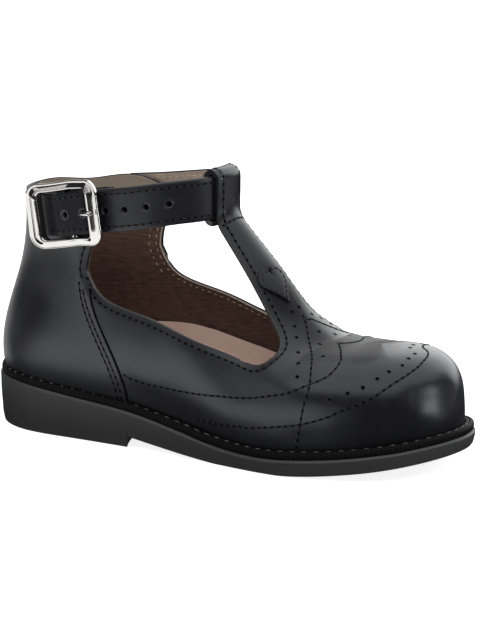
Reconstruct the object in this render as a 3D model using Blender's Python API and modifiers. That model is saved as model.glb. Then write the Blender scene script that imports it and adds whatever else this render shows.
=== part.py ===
"""Child's T-bar school shoe for the right foot.

The toe points along +X, the inner side of the foot lies towards +Y and the tread stands on Z = 0.
The upper is the wall round a last.  The last is described by sections set out round its bottom edge,
the feather line.  Each section climbs the side to a belt line, and from there goes on over the vamp
to the crest, or up the quarter to the collar.
"""
import math

import bmesh
import bpy
import numpy as np
from mathutils import Vector

MM = 0.001

# Driving sizes, in millimetres
WALL = 1.9                 # leather of the upper with its lining
COUNTER_STEP = 0.6         # heel piece laid over the front of the upper
GAP = 0.3                  # clearance between pieces that touch
FOOT_RISE = 0.6            # the flared wall is cut square, so its outer edge hangs lower than its inner one
WELT_HEIGHT = 2.2
WELT_INSET = 0.5           # welt edge behind the edge of the sole
INSOLE_HEIGHT = 2.4
STRAP_WIDTH = 13.4
STRAP_THICKNESS = 2.0
HOLE_RADIUS = 1.35         # punched holes of the strap
HOLE_PITCH = 6.6
HOLE_COUNT = 6
HOLE_REACH = 3.0           # cut of the holes to each side of the strap's middle
BUCKLE_LENGTH = 27.0       # outer size along the strap
BUCKLE_HEIGHT = 20.4       # outer size across the strap
BUCKLE_SIDE_BAR = 4.4      # width of the bars across the strap
BUCKLE_LONG_BAR = 2.8      # width of the bars along the strap
BUCKLE_CORNER = 3.2        # corner radius of the bars' middle line
CENTRE_BAR_RADIUS = 0.9
CENTRE_BAR_RISE = 1.0      # middle of the centre bar over the strap line
BUCKLE_DEPTH = 2.4
PRONG_RADIUS = 0.75
SOLE_POINTS = 96           # points round the sole, welt and insole
STRAP_POINTS = 64          # sections along the strap
ROD_SIDES = 12
FRAME_SIDES = 8            # faces round the section of the buckle's bars
STRAP_EASE = 0.4           # eased edges of the strap
STRAP_TIP = 6.0            # length of the strap's round tip
SHARP_ANGLE = 40.0         # degrees
MERGE = 0.000002           # metres, for points that two grids share

# Sections of the last from toe to heel, in millimetres.  x, lateral and medial give the feather
# line, the belt columns the line half way up, flare and lean the slopes of the wall at those two
# lines, and edge the distance from the feather line out to the edge of the sole.
LAST_COLUMNS = ("x", "lateral", "medial", "belt_x", "belt_lateral", "belt_medial", "belt_z",
                "flare", "lean", "edge")
LAST = {
    "toe_tip":     (75.6, -4.0, 4.0, 75.2, -4.0, 4.0, 22.0, 0.10, -0.10, 5.3),
    "toe_corner":  (67.2, 14.2, 20.6, 67.0, 14.6, 21.1, 22.0, 0.10, -0.10, 5.3),
    "toe_side":    (51.6, 21.6, 25.2, 51.6, 22.2, 26.0, 22.5, 0.15, -0.12, 5.3),
    "ball":        (35.0, 24.5, 25.6, 35.2, 24.6, 25.8, 24.5, 0.15, -0.20, 5.3),
    "throat":      (19.0, 23.6, 24.0, 21.0, 21.2, 21.4, 30.4, 0.12, -0.45, 5.3),
    "instep":      (4.0, 21.7, 20.6, 3.0, 21.6, 20.0, 35.6, 0.15, -0.25, 5.3),
    "shank":       (-7.5, 20.6, 18.6, -13.5, 21.6, 20.0, 40.8, 0.20, -0.12, 5.2),
    "corner":      (-16.0, 20.2, 18.0, -30.2, 21.1, 20.2, 44.9, 0.22, -0.10, 5.0),
    "seam":        (-23.0, 20.0, 18.0, -37.2, 20.5, 19.9, 53.5, 0.24, -0.08, 4.9),
    "quarter":     (-42.0, 19.9, 19.2, -45.0, 18.5, 18.4, 60.5, 0.28, -0.05, 4.7),
    "heel_side":   (-60.0, 19.0, 18.8, -60.5, 14.6, 14.4, 51.5, 0.30, -0.20, 4.5),
    "heel_corner": (-71.7, 11.5, 11.5, -68.2, 8.7, 8.7, 48.5, 0.30, -0.28, 4.4),
    "heel_back":   (-75.6, 0.0, 0.0, -70.6, 0.0, 0.0, 48.0, 0.30, -0.29, 4.4),
}
ROWS = list(LAST)
HEEL = ROWS.index("heel_back")
TURN = 2 * HEEL

# Crest of the vamp and of the T-bar, with the roundness of the shoulder below it and the share of the
# way back to the belt that the shoulder follows
CREST_COLUMNS = ("x", "y", "z", "round", "sweep")
CREST = {
    "toe_tip":    (52.5, 2.0, 34.6, 0.74, 1.0),
    "toe_corner": (52.5, 2.0, 34.6, 0.72, 1.0),
    "toe_side":   (47.0, 1.6, 34.0, 0.66, 0.9),
    "ball":       (38.0, 1.0, 34.3, 0.60, 0.7),
    "throat":     (27.6, 0.3, 40.4, 0.52, 0.4),
    "instep":     (13.6, 0.0, 56.8, 0.50, 0.1),
    "shank":      (2.6, 0.0, 68.6, 0.48, 0.0),
}

# Collar from the lateral front edge of the quarter round the heel to the medial one
COLLAR_COLUMNS = ("x", "y", "z", "lean")
COLLAR = {
    "lateral seam":        (-28.5, -19.8, 80.2, 0.00),
    "lateral quarter":     (-46.0, -18.8, 77.2, 0.02),
    "lateral heel_side":   (-58.5, -14.6, 75.0, 0.05),
    "lateral heel_corner": (-66.0, -8.2, 74.4, 0.05),
    "heel_back":           (-68.7, 0.0, 74.2, 0.05),
    "medial heel_corner":  (-66.0, 8.2, 74.4, 0.05),
    "medial heel_side":    (-58.5, 14.4, 74.0, 0.05),
    "medial quarter":      (-46.0, 18.6, 75.6, 0.02),
    "medial seam":         (-33.5, 20.2, 71.5, 0.00),
}

# Opening between T-bar and topline, in rows of the last and shares of the way from belt to crest
OPENING_TIP = 3.64
OPENING_LOW = 4.20
OPENING_WIDE = 4.60
OPENING_SHARE = 0.36
OPENING_POWER = 2.3        # squareness of its front end
BAR_HALF_WIDTH = {"ball": 12.0, "throat": 10.4, "instep": 8.0, "shank": 6.0}
SEAM = ROWS.index("seam")
SEAM_STEP = 0.03           # rows over which the heel piece steps up
SEAM_CLEAR = 0.2           # rows over which the welt draws back for the heel piece
BAR_TOP = ROWS.index("shank")

# Loop of the T-bar over the strap: x, z of its inner face up to the top of the fold
LOOP_RISE = ((2.6, 68.6), (1.0, 70.8), (0.2, 73.6), (0.0, 78.0), (0.0, 82.6))
LOOP_RADIUS = 1.45
LOOP_TAIL = ((-2.9, 78.0), (-2.9, 73.6), (-2.9, 71.2), (-2.5, 69.95), (-1.0, 69.6))
LOOP_SAG_RADIUS = 24.0

# Side view of the sole: height of its top, toe spring and arch
SOLE_TOP_X = (-80.0, -60.0, -40.0, -20.0, 0.0, 14.0, 27.0, 40.0, 55.0, 70.0, 80.0)
SOLE_TOP_Z = (15.9, 15.0, 13.1, 11.2, 7.7, 5.4, 4.7, 5.4, 7.1, 9.4, 11.2)
SPRING_START = 34.0
SPRING_LENGTH = 46.0
SPRING_HEIGHT = 6.6
SPRING_POWER = 1.45
BREAST_X = -21.0           # front of the heel at its corners
BREAST_HOLLOW = 7.5        # depth of the hollow in the heel's front
BREAST_HALF = 25.0
ARCH_END = 18.0
ARCH_HEIGHT = 3.5
ARCH_POWER = 1.5
ARCH_HALF = 34.0
ARCH_DIP = 0.25
ARCH_DEPTH = 3.0

# Side of the sole from the top edge down: inset, drop, and share of the rest of the way to the tread.
# Insole from its edge inwards: inset from the edge, drop, and share of the rise of its inner wing.  Side
# of the welt from its foot up: outset from its edge and share of its height
SOLE_SIDE = ((0.55, 0.0, 0.0), (0.0, 0.7, 0.0), (0.1, 0.7, 0.35), (0.6, 0.7, 0.85), (1.1, 0.7, 1.0))
INSOLE_INSET = 0.4         # foot of the insole inside the feather line
INSOLE_TOP = ((0.0, 0.8, 1.0), (0.6, 0.0, 0.95), (3.2, 0.0, 0.50), (6.5, 0.0, 0.15), (10.5, 0.0, 0.0))
WELT_SIDE = ((0.0, 0.0), (0.1, 0.4), (-0.25, 0.8), (-0.9, 1.0))
WELT_EASE = 0.05

# Wing of the insole, moulded up the inner side under the arch of the foot: rise of its edge over the
# flat top, and outset of that edge from the feather line
WING_COLUMNS = ("rise", "outset")
WING = {
    "toe_tip":     (0.0, -0.4),
    "toe_corner":  (0.0, -0.4),
    "toe_side":    (0.0, -0.4),
    "ball":        (0.8, -0.4),
    "throat":      (6.5, -0.3),
    "instep":      (14.8, 0.5),
    "shank":       (15.4, 1.5),
    "corner":      (15.7, 1.9),
    "seam":        (15.6, 1.9),
    "quarter":     (12.8, 1.3),
    "heel_side":   (2.5, -0.4),
    "heel_corner": (0.0, -0.4),
    "heel_back":   (0.0, -0.4),
}

# Strap: places on the quarter as row and height, and free places over the instep as x, y, z
STRAP_MEDIAL = ((14.86, 69.2), (15.15, 69.5), (15.45, 69.8), (15.75, 70.2))
STRAP_FREE = ((-22.0, 22.3, 72.5), (-10.4, 16.9, 75.0), (-4.0, 8.6, 76.5), (-2.45, 0.0, 76.9),
              (-4.0, -8.6, 76.9), (-10.4, -16.8, 76.4), (-20.5, -21.6, 74.6))
STRAP_LATERAL = ((8.25, 72.4), (8.6, 71.4), (8.95, 70.5), (9.3, 69.7), (9.75, 69.0))
BUCKLE_PLACE = (8.72, 71.0)    # row and height of the buckle's centre bar
STRAP_LIFT = 2.2           # climb of the strap over the centre bar and prong
STRAP_LIFT_SHIFT = 2.6     # middle of that climb ahead of the bar
STRAP_LIFT_FLAT = 3.6
STRAP_LIFT_END = 9.2

# Buckle: height of the frame's middle over the strap line, its dish and the fullness of its bars
FRAME_RISE = 2.7
FRAME_DISH = 3.4
FRAME_FULLNESS = 1.08
PRONG_PATH = ((1.25, 1.0), (3.5, 1.0), (5.6, 1.1), (6.6, 2.6), (6.7, 4.4), (7.6, 6.1), (9.4, 6.95),
              (11.2, 7.2))     # way from the centre bar, and height

# Heart on the T-bar: row of its middle, half its length in rows, y of its middle, half its width, and
# its rings as share of the outline and height
HEART_ROW = 4.68
HEART_ALONG = 0.31
HEART_SIDE = -3.0
HEART_HALF = 4.1
HEART_POINTS = 28
HEART_RINGS = ((0.1, 0.0), (0.55, 0.0), (1.0, 0.0), (1.0, 0.5), (0.93, 0.8), (0.55, 0.8), (0.1, 0.8))


def pchip(values, t):
    """Curve through values at t = 0, 1, 2 and so on that never swings past them."""
    values = np.asarray(values, float)
    steps = np.diff(values, axis=0)
    before, after = steps[:-1], steps[1:]
    same = before * after > 0.0
    total = np.where(same, before + after, 1.0)
    slopes = np.where(same, 2.0 * before * after / total, 0.0)
    slopes = np.concatenate([steps[:1], slopes, steps[-1:]])
    i = np.clip(np.floor(t).astype(int), 0, len(values) - 2)
    return hermite(values[i], values[i + 1], slopes[i], slopes[i + 1], (t - i)[:, None])


def hermite(a, b, slope_a, slope_b, u):
    """Cubic from a to b that leaves and arrives with the given slopes."""
    return ((1 + 2 * u) * (1 - u) ** 2 * a + u * (1 - u) ** 2 * slope_a
            + u * u * (3 - 2 * u) * b - u * u * (1 - u) * slope_b)


def spline(values, t, closed=False):
    """Smooth curve through values at t = 0, 1, 2 and so on, with even curvature."""
    values = np.asarray(values, float)
    n = len(values)
    ahead, behind = np.roll(values, -1, 0), np.roll(values, 1, 0)
    system = 4.0 * np.eye(n) + np.roll(np.eye(n), 1, 0) + np.roll(np.eye(n), -1, 0)
    right = 3.0 * (ahead - behind)
    if not closed:
        system[0], system[-1] = 0.0, 0.0
        system[0, :2], system[-1, -2:] = (2.0, 1.0), (1.0, 2.0)
        right[0] = 3.0 * (values[1] - values[0])
        right[-1] = 3.0 * (values[-1] - values[-2])
    slopes = np.linalg.solve(system, right)
    i = np.floor(t).astype(int)
    if not closed:
        i = np.clip(i, 0, n - 2)
    u = (t - i)[:, None]
    return hermite(values[i % n], values[(i + 1) % n], slopes[i % n], slopes[(i + 1) % n], u)


def columns(table, names, *wanted):
    """Named columns of a table of rows, side by side."""
    places = [names.index(name) for name in wanted]
    return np.array([[row[k] for k in places] for row in table.values()])


def round_last(lateral, medial=None):
    """Column values set out round the last: back along the lateral side, forward along the medial."""
    low = columns(LAST, LAST_COLUMNS, lateral)[:, 0]
    high = low if medial is None else columns(LAST, LAST_COLUMNS, medial)[:, 0]
    first = low if medial is None else -low
    return np.concatenate([first, high[-2:0:-1]])


LAST_LOOP = np.stack([
    round_last("x"), round_last("lateral", "medial"),
    round_last("belt_x"), round_last("belt_lateral", "belt_medial"), round_last("belt_z"),
    round_last("flare"), round_last("lean"), round_last("edge")], axis=1)


def sole_top(x):
    """Height of the top of the sole along the shoe."""
    place = np.interp(x, SOLE_TOP_X, np.arange(len(SOLE_TOP_X)))
    shape = np.shape(x)
    return spline(np.array(SOLE_TOP_Z)[:, None], np.ravel(place))[:, 0].reshape(shape)


def toe_spring(x):
    """Height of the tread where the toe curls up from the ground."""
    share = np.clip((x - SPRING_START) / SPRING_LENGTH, 0.0, 1.2)
    return SPRING_HEIGHT * share ** SPRING_POWER


def last_line(t):
    """Feather point, belt point, outward direction, flare, lean and edge at rows t of the last."""
    t = np.atleast_1d(np.asarray(t, float))
    values = spline(LAST_LOOP, t, closed=True)
    step = 0.001
    run = spline(LAST_LOOP[:, :2], t + step, closed=True) - spline(LAST_LOOP[:, :2], t - step, closed=True)
    run /= np.linalg.norm(run, axis=1)[:, None]
    out = np.stack([-run[:, 1], run[:, 0], np.zeros(len(t))], axis=1)
    foot = sole_top(values[:, 0]) + GAP + FOOT_RISE
    feather = np.stack([values[:, 0], values[:, 1], foot], axis=1)
    belt = values[:, 2:5]
    return feather, belt, out, values[:, 5:6], values[:, 6:7], values[:, 7:8]


UP = np.array([0.0, 0.0, 1.0])


def side(t, share):
    """Side wall of the last, from the feather line (share 0) to the belt (share 1)."""
    feather, belt, out, flare, lean, _ = last_line(t)
    height = (belt - feather)[:, 2:3]
    leave, arrive = height * (flare * out + UP), height * (lean * out + UP)
    return hermite(feather[:, None], belt[:, None], leave[:, None], arrive[:, None], share[..., None])


def crest(t):
    """Crest point, shoulder roundness and sweep at rows t, the same on both sides of the shoe."""
    folded = np.minimum(t, TURN - t)
    rows = columns(CREST, CREST_COLUMNS, "x", "y", "z", "round", "sweep")
    values = pchip(rows, np.clip(folded, 0.0, len(CREST) - 1))
    return values[:, :3], values[:, 3:4], values[:, 4]


def front(t, share):
    """Vamp and T-bar, from the belt (share 0) to the crest (share 1)."""
    _, belt, out, _, lean, _ = last_line(t)
    top, roundness, sweep = crest(t)
    reach = (belt - top) * np.stack([sweep, np.ones_like(sweep), np.zeros_like(sweep)], axis=1)
    rise = (top - belt)[:, 2:3]
    a = belt[:, None]
    b = (belt + roundness * rise * (lean * out + UP))[:, None]
    c = (top + roundness * reach)[:, None]
    d = top[:, None]
    u = share[..., None]
    return (1 - u) ** 3 * a + 3 * u * (1 - u) ** 2 * b + 3 * u * u * (1 - u) * c + u ** 3 * d


def back(t, share):
    """Quarter and heel, from the belt (share 0) to the collar (share 1)."""
    _, belt, out, _, lean, _ = last_line(t)
    values = spline(columns(COLLAR, COLLAR_COLUMNS, "x", "y", "z", "lean"), t - SEAM)
    top, top_lean = values[:, :3], values[:, 3:4]
    height = (top - belt)[:, 2:3]
    leave, arrive = height * (lean * out + UP), height * (top_lean * out + UP)
    return hermite(belt[:, None], top[:, None], leave[:, None], arrive[:, None], share[..., None])


def bar_share(t):
    """Share of the way from belt to crest at which the edge of the T-bar lies."""
    folded = np.minimum(t, TURN - t)
    half = pchip(np.array(list(BAR_HALF_WIDTH.values()))[:, None],
                 np.clip(folded - ROWS.index("ball"), 0.0, 3.0))[:, 0]
    shares = np.linspace(0.0, 1.0, 201)
    points = front(t, np.tile(shares, (len(t), 1)))
    across = np.abs(points[..., 1] - points[:, -1:, 1])
    return np.array([np.interp(-h, -row, shares) for h, row in zip(half, across)])


def opening_low(t):
    """Lower edge of the opening: the split line of the vamp, falling to the belt behind the throat."""
    folded = np.minimum(t, TURN - t)
    run = np.clip((folded - OPENING_TIP) / (OPENING_LOW - OPENING_TIP), 0.0, 1.0)
    return OPENING_SHARE * (1.0 - (1.0 - (1.0 - run) ** OPENING_POWER) ** (1.0 / OPENING_POWER))


def opening_high(t):
    """Upper edge of the opening: the split line of the vamp, rising to the edge of the T-bar."""
    folded = np.minimum(t, TURN - t)
    run = np.clip((folded - OPENING_TIP) / (OPENING_WIDE - OPENING_TIP), 0.0, 1.0)
    return OPENING_SHARE + (bar_share(t) - OPENING_SHARE) * np.sqrt(1.0 - (1.0 - run) ** 2)


def rounded_run(start, end, count):
    """Places from start to end that crowd towards start, for the round end of the opening."""
    return start + (end - start) * (1.0 - np.cos(np.linspace(0.0, math.pi / 2.0, count)))


def other_side(t):
    """The same places on the medial side, in running order."""
    return TURN - t[::-1]


def band(surface, t, low, high, count):
    """Grid of points on a surface between two edges given as shares."""
    steps = np.linspace(0.0, 1.0, count)
    low = np.broadcast_to(low, t.shape)[:, None]
    high = np.broadcast_to(high, t.shape)[:, None]
    return surface(t, low + (high - low) * steps)


def loop_path():
    """Side view of the T-bar's loop: up the front, over the strap and down behind it."""
    rise, tail = np.array(LOOP_RISE), np.array(LOOP_TAIL)
    turn = np.linspace(0.0, math.pi, 7)[1:]
    centre = rise[-1] - np.array([LOOP_RADIUS, 0.0])
    fold = centre + LOOP_RADIUS * np.stack([np.cos(turn), np.sin(turn)], axis=1)
    return np.concatenate([rise, fold, tail])


def bar_loop(line):
    """Loop grid that goes on from the top line of the T-bar, flattening its arch on the way."""
    path = loop_path()
    middle = line[len(line) // 2]
    offset = line - middle
    flat = np.zeros_like(offset)
    flat[:, 1] = offset[:, 1]
    flat[:, 0] = -offset[:, 1] ** 2 / (2.0 * LOOP_SAG_RADIUS)
    rows = []
    for i, (x, z) in enumerate(path):
        share = min(1.0, i / 3.0)
        rows.append(np.array([x, middle[1], z]) + (1.0 - share) * offset + share * flat)
    return np.array(rows)


def upper_grids(density=4, rows=5):
    """Grids of the last's surface that the upper covers, front pieces first, heel pieces last."""
    tip = np.linspace(0.0, OPENING_TIP, 4 * density)
    low = rounded_run(OPENING_TIP, OPENING_LOW, density + 2)
    wide = rounded_run(OPENING_TIP, OPENING_WIDE, density + 3)
    bar = np.linspace(OPENING_WIDE, BAR_TOP, 2 * density)
    topline = np.linspace(OPENING_LOW, SEAM, 4 * density)
    heel = np.linspace(SEAM + SEAM_STEP, TURN - SEAM - SEAM_STEP, 8 * density + 1)
    heel = np.concatenate([[SEAM], heel, [TURN - SEAM]])
    lower_t = np.concatenate([tip, low[1:], topline[1:]])
    upper_t = np.concatenate([tip, wide[1:], bar[1:]])
    toe_t = np.concatenate([tip, low[1:]])
    grids = []
    for t in (lower_t, other_side(lower_t)):
        grids.append(band(side, t, 0.0, 1.0, rows + 1))
    for t in (toe_t, other_side(toe_t)):
        grids.append(band(front, t, 0.0, opening_low(t), rows - 1))
    for t in (upper_t, other_side(upper_t)):
        grids.append(band(front, t, opening_high(t), 1.0, rows))
    line = np.concatenate([grids[4][-1], grids[5][0][-2::-1]])
    grids.append(bar_loop(line))
    counter = [band(side, heel, 0.0, 1.0, rows + 1), band(back, heel, 0.0, 1.0, rows)]
    return grids, counter


def outline(offset, t):
    """Closed line beside the feather line, offset outwards in plan."""
    feather, _, out, _, _, _ = last_line(t)
    return feather[:, :2] + np.reshape(offset, (-1, 1)) * out[:, :2]


def quarter_point(t, z):
    """Point just off the outside of the quarter at row t and height z, with its upward direction."""
    shares = np.linspace(0.0, 1.0, 201)[None]
    column_points = back(np.array([t]), shares)[0]
    share = np.interp(z, column_points[:, 2], shares[0])
    step = 0.01
    here = back(np.array([t - step, t, t + step]), np.full((3, 1), share))[:, 0]
    rise = back(np.array([t]), np.array([[share - step, share + step]]))[0]
    up = rise[1] - rise[0]
    up /= np.linalg.norm(up)
    out = np.cross(up, here[2] - here[0])
    out /= np.linalg.norm(out)
    return here[1] + (WALL + COUNTER_STEP + GAP) * out, up


class Ribbon:
    """Path of the strap's inner face: distance s along it, u across it and n out from it."""

    def __init__(self):
        knots = [quarter_point(t, z) for t, z in STRAP_MEDIAL]
        knots += [(np.array(point), UP) for point in STRAP_FREE]
        knots += [quarter_point(t, z) for t, z in STRAP_LATERAL]
        place = np.linspace(0.0, len(knots) - 1.0, 600)
        self.centre = spline([point for point, _ in knots], place)
        self.up = spline([up for _, up in knots], place)
        run = np.gradient(self.centre, axis=0)
        run /= np.linalg.norm(run, axis=1)[:, None]
        self.up -= np.sum(self.up * run, axis=1)[:, None] * run
        self.up /= np.linalg.norm(self.up, axis=1)[:, None]
        self.out = np.cross(self.up, run)
        steps = np.linalg.norm(np.diff(self.centre, axis=0), axis=1)
        self.s = np.concatenate([[0.0], np.cumsum(steps)])
        self.length = self.s[-1]
        bar, _ = quarter_point(*BUCKLE_PLACE)
        self.bar = self.s[np.argmin(np.linalg.norm(self.centre - bar, axis=1))]

    def read(self, rows, s):
        """Values of rows at distance s."""
        return np.stack([np.interp(s, self.s, rows[:, k]) for k in range(3)], axis=-1)

    def point(self, s, u, n):
        """Point at distance s along, u across and n out."""
        u, n = np.asarray(u)[..., None], np.asarray(n)[..., None]
        return self.read(self.centre, s) + u * self.read(self.up, s) + n * self.read(self.out, s)

    def lift(self, s):
        """Height of the strap's inner face where it climbs over the buckle's centre bar and prong."""
        far = np.abs(s - self.bar + STRAP_LIFT_SHIFT)
        share = np.clip((STRAP_LIFT_END - far) / (STRAP_LIFT_END - STRAP_LIFT_FLAT), 0.0, 1.0)
        return STRAP_LIFT * share * share * (3.0 - 2.0 * share)


def new_collection(name):
    """Collection of that name in the scene."""
    made = bpy.data.collections.new(name)
    bpy.context.scene.collection.children.link(made)
    return made


def new_material(name, colour, roughness, metallic=0.0):
    """Principled material with one colour."""
    made = bpy.data.materials.new(name)
    made.use_nodes = True
    shader = made.node_tree.nodes["Principled BSDF"]
    shader.inputs["Base Color"].default_value = (*colour, 1.0)
    shader.inputs["Roughness"].default_value = roughness
    shader.inputs["Metallic"].default_value = metallic
    return made


def add_grid(shape, grid, close_rows=False, close_columns=False):
    """Quads over a grid of points, in metres, with the outside on the side of columns x rows."""
    rows, columns = grid.shape[:2]
    points = [[shape.verts.new(point * MM) for point in line] for line in grid]
    for i in range(rows if close_rows else rows - 1):
        for j in range(columns if close_columns else columns - 1):
            k, m = (i + 1) % rows, (j + 1) % columns
            shape.faces.new((points[i][j], points[i][m], points[k][m], points[k][j]))
    return points


def cap_across(shape, ring):
    """Faces across a closed ring of points, in strips from one side of the shoe to the other."""
    n = len(ring)
    shape.faces.new((ring[0], ring[1], ring[n - 1]))
    for i in range(1, n // 2 - 1):
        shape.faces.new((ring[i], ring[i + 1], ring[n - i - 1], ring[n - i]))
    shape.faces.new((ring[n // 2 - 1], ring[n // 2], ring[n // 2 + 1]))


def finish(name, shape, group, material=None, outward=True):
    """Object from a built shape."""
    if outward:
        bmesh.ops.recalc_face_normals(shape, faces=shape.faces)
    mesh = bpy.data.meshes.new(name)
    shape.to_mesh(mesh)
    shape.free()
    mesh.shade_smooth()
    mesh.set_sharp_from_angle(angle=math.radians(SHARP_ANGLE))
    made = bpy.data.objects.new(name, mesh)
    group.objects.link(made)
    if material is None:
        made.hide_render = True
        made.display_type = "WIRE"
    else:
        mesh.materials.append(material)
    return made


def cut(target, cutter, operation="DIFFERENCE"):
    """Boolean of a cutter on a target."""
    step = target.modifiers.new(cutter.name, "BOOLEAN")
    step.operation = operation
    step.object = cutter
    step.solver = "EXACT"


def make_outsole(parts, cutters):
    """Rubber unit: sole and heel in one, with toe spring, hollow heel front and raised arch."""
    t = np.arange(SOLE_POINTS) * TURN / SOLE_POINTS
    edge = last_line(t)[5][:, 0]
    rings = []
    for inset, drop, share in SOLE_SIDE:
        line = outline(edge - inset, t)
        top, bottom = sole_top(line[:, 0]), toe_spring(line[:, 0])
        z = top - drop - share * (top - drop - bottom)
        rings.append(np.column_stack([line, z]))
    shape = bmesh.new()
    points = add_grid(shape, np.stack(rings, axis=1), close_rows=True)
    cap_across(shape, [line[0] for line in points])
    cap_across(shape, [line[-1] for line in points])
    rubber = new_material("rubber", (0.012, 0.012, 0.013), 0.5)
    sole = finish("outsole", shape, parts, rubber)
    cut(sole, make_arch(cutters))


def make_arch(cutters):
    """Space under the arch, from the hollow front of the heel to the tread of the forefoot."""
    sections = []
    for y in np.linspace(-ARCH_HALF, ARCH_HALF, 17):
        start = BREAST_X - BREAST_HOLLOW * (1.0 - (y / BREAST_HALF) ** 2)
        x = np.linspace(start, ARCH_END, 9)
        share = np.clip((x - BREAST_X) / (ARCH_END - BREAST_X), 0.0, 1.0)
        z = (ARCH_HEIGHT + ARCH_DIP) * (1.0 - share) ** ARCH_POWER - ARCH_DIP
        x = np.concatenate([x, x[[-1, 0]]])
        z = np.concatenate([z, [-ARCH_DEPTH, -ARCH_DEPTH]])
        sections.append(np.column_stack([x, np.full_like(x, y), z]))
    shape = bmesh.new()
    points = add_grid(shape, np.array(sections), close_columns=True)
    shape.faces.new(points[0])
    shape.faces.new(points[-1])
    return finish("arch", shape, cutters)


def make_welt(parts):
    """Welt strip that lies on the sole all round the upper."""
    t = np.arange(SOLE_POINTS) * TURN / SOLE_POINTS
    _, _, _, flare, _, edge = last_line(t)
    inner = WALL + GAP + COUNTER_STEP * counter_share(t)
    outer = edge[:, 0] - WELT_INSET
    section = [(inner, 0.0)]
    section += [(outer + outset, share * WELT_HEIGHT) for outset, share in WELT_SIDE]
    section += [(inner + flare[:, 0] * WELT_HEIGHT + WELT_EASE, WELT_HEIGHT)]
    rings = []
    for offset, height in section:
        line = outline(offset, t)
        rings.append(np.column_stack([line, sole_top(line[:, 0]) + GAP + height]))
    shape = bmesh.new()
    add_grid(shape, np.stack(rings, axis=1), close_rows=True, close_columns=True)
    finish("welt", shape, parts, new_material("welt rubber", (0.014, 0.014, 0.015), 0.55))


def wing(t):
    """Rise and outset of the insole's edge: the wing on the medial side, a plain edge on the lateral one."""
    rows = columns(WING, WING_COLUMNS, "rise", "outset")
    values = pchip(rows, np.where(t > HEEL, TURN - t, 0.0))
    return values[:, 0], values[:, 1]


def make_insole(parts):
    """Insole board inside the foot of the upper, with its wing under the arch of the foot."""
    t = np.arange(SOLE_POINTS) * TURN / SOLE_POINTS
    rise, outset = wing(t)
    foot = outline(-INSOLE_INSET, t)
    rings = [np.column_stack([foot, sole_top(foot[:, 0]) + GAP])]
    for inset, drop, share in INSOLE_TOP:
        line = outline(outset - inset, t)
        z = sole_top(line[:, 0]) + GAP + INSOLE_HEIGHT - drop + share * rise
        rings.append(np.column_stack([line, z]))
    shape = bmesh.new()
    points = add_grid(shape, np.stack(rings, axis=1), close_rows=True)
    cap_across(shape, [line[0] for line in points])
    cap_across(shape, [line[-1] for line in points])
    finish("insole", shape, parts, new_material("insole leather", (0.50, 0.36, 0.28), 0.7))


def counter_share(t):
    """One under the heel piece and just ahead of its seams, nought at the front."""
    near = np.minimum(t, TURN - t)
    return np.clip((near - SEAM + SEAM_STEP + SEAM_CLEAR) / SEAM_CLEAR, 0.0, 1.0)


def make_upper(parts):
    """Hollow upper: vamp, quarters and T-bar as one wall, thicker where the heel piece lies over it."""
    grids, counter = upper_grids()
    shape = bmesh.new()
    weight = shape.verts.layers.deform.verify()
    for grid in grids:
        add_grid(shape, grid)
    for grid in counter:
        for line in add_grid(shape, grid)[1:-1]:
            for vertex in line:
                vertex[weight][0] = 1.0
    bmesh.ops.remove_doubles(shape, verts=shape.verts, dist=MERGE)
    bmesh.ops.dissolve_degenerate(shape, edges=shape.edges, dist=MERGE)
    leather = new_material("leather", (0.010, 0.010, 0.011), 0.32)
    upper = finish("upper", shape, parts, leather, outward=False)
    upper.vertex_groups.new(name="heel piece")
    wall = upper.modifiers.new("wall", "SOLIDIFY")
    wall.thickness = (WALL + COUNTER_STEP) * MM
    wall.offset = 1.0
    wall.use_even_offset = True
    wall.vertex_group = "heel piece"
    wall.thickness_vertex_group = WALL / (WALL + COUNTER_STEP)


def strap_section(width):
    """Outline of the strap's cross-section, with eased edges."""
    half, thick, ease = width / 2.0, STRAP_THICKNESS, STRAP_EASE
    return ((-half, ease), (-half + ease, 0.0), (half - ease, 0.0), (half, ease),
            (half, thick - ease), (half - ease, thick), (-half + ease, thick), (-half, thick - ease))


def make_strap(parts, cutters, ribbon):
    """Ankle strap: sewn on the medial quarter, through the T-bar's loop, to the buckle and its tip."""
    places = np.linspace(0.0, ribbon.length, STRAP_POINTS)
    rounding = places[places > ribbon.length - STRAP_TIP]
    places = np.concatenate([places[places <= ribbon.length - STRAP_TIP],
                             np.linspace(rounding[0], ribbon.length - 0.05, 6)])
    sections = []
    for s in places:
        into_tip = max(0.0, (s - ribbon.length + STRAP_TIP) / STRAP_TIP)
        width = STRAP_WIDTH * max(0.3, math.sqrt(1.0 - into_tip ** 2))
        u, n = np.array(strap_section(width)).T
        sections.append(ribbon.point(np.full_like(u, s), u, n + ribbon.lift(s)))
    shape = bmesh.new()
    points = add_grid(shape, np.array(sections), close_columns=True)
    shape.faces.new(points[0])
    shape.faces.new(points[-1])
    strap = finish("ankle_strap", shape, parts, new_material("strap leather", (0.011, 0.011, 0.012), 0.38))
    for k in range(HOLE_COUNT):
        s = ribbon.bar - k * HOLE_PITCH
        middle = ribbon.lift(s) + STRAP_THICKNESS / 2.0
        low, high = ribbon.point(s, 0.0, middle - HOLE_REACH), ribbon.point(s, 0.0, middle + HOLE_REACH)
        hole = make_rod("hole %d" % k, low, high, HOLE_RADIUS, cutters)
        cut(strap, hole)


def make_rod(name, start, end, radius, group):
    """Round rod between two points."""
    shape = bmesh.new()
    axis = end - start
    length = np.linalg.norm(axis)
    bmesh.ops.create_cone(shape, cap_ends=True, segments=ROD_SIDES, radius1=radius * MM,
                          radius2=radius * MM, depth=length * MM)
    made = finish(name, shape, group)
    made.location = (start + end) / 2.0 * MM
    made.rotation_euler = Vector(axis).to_track_quat("Z", "Y").to_euler()
    return made


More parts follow.
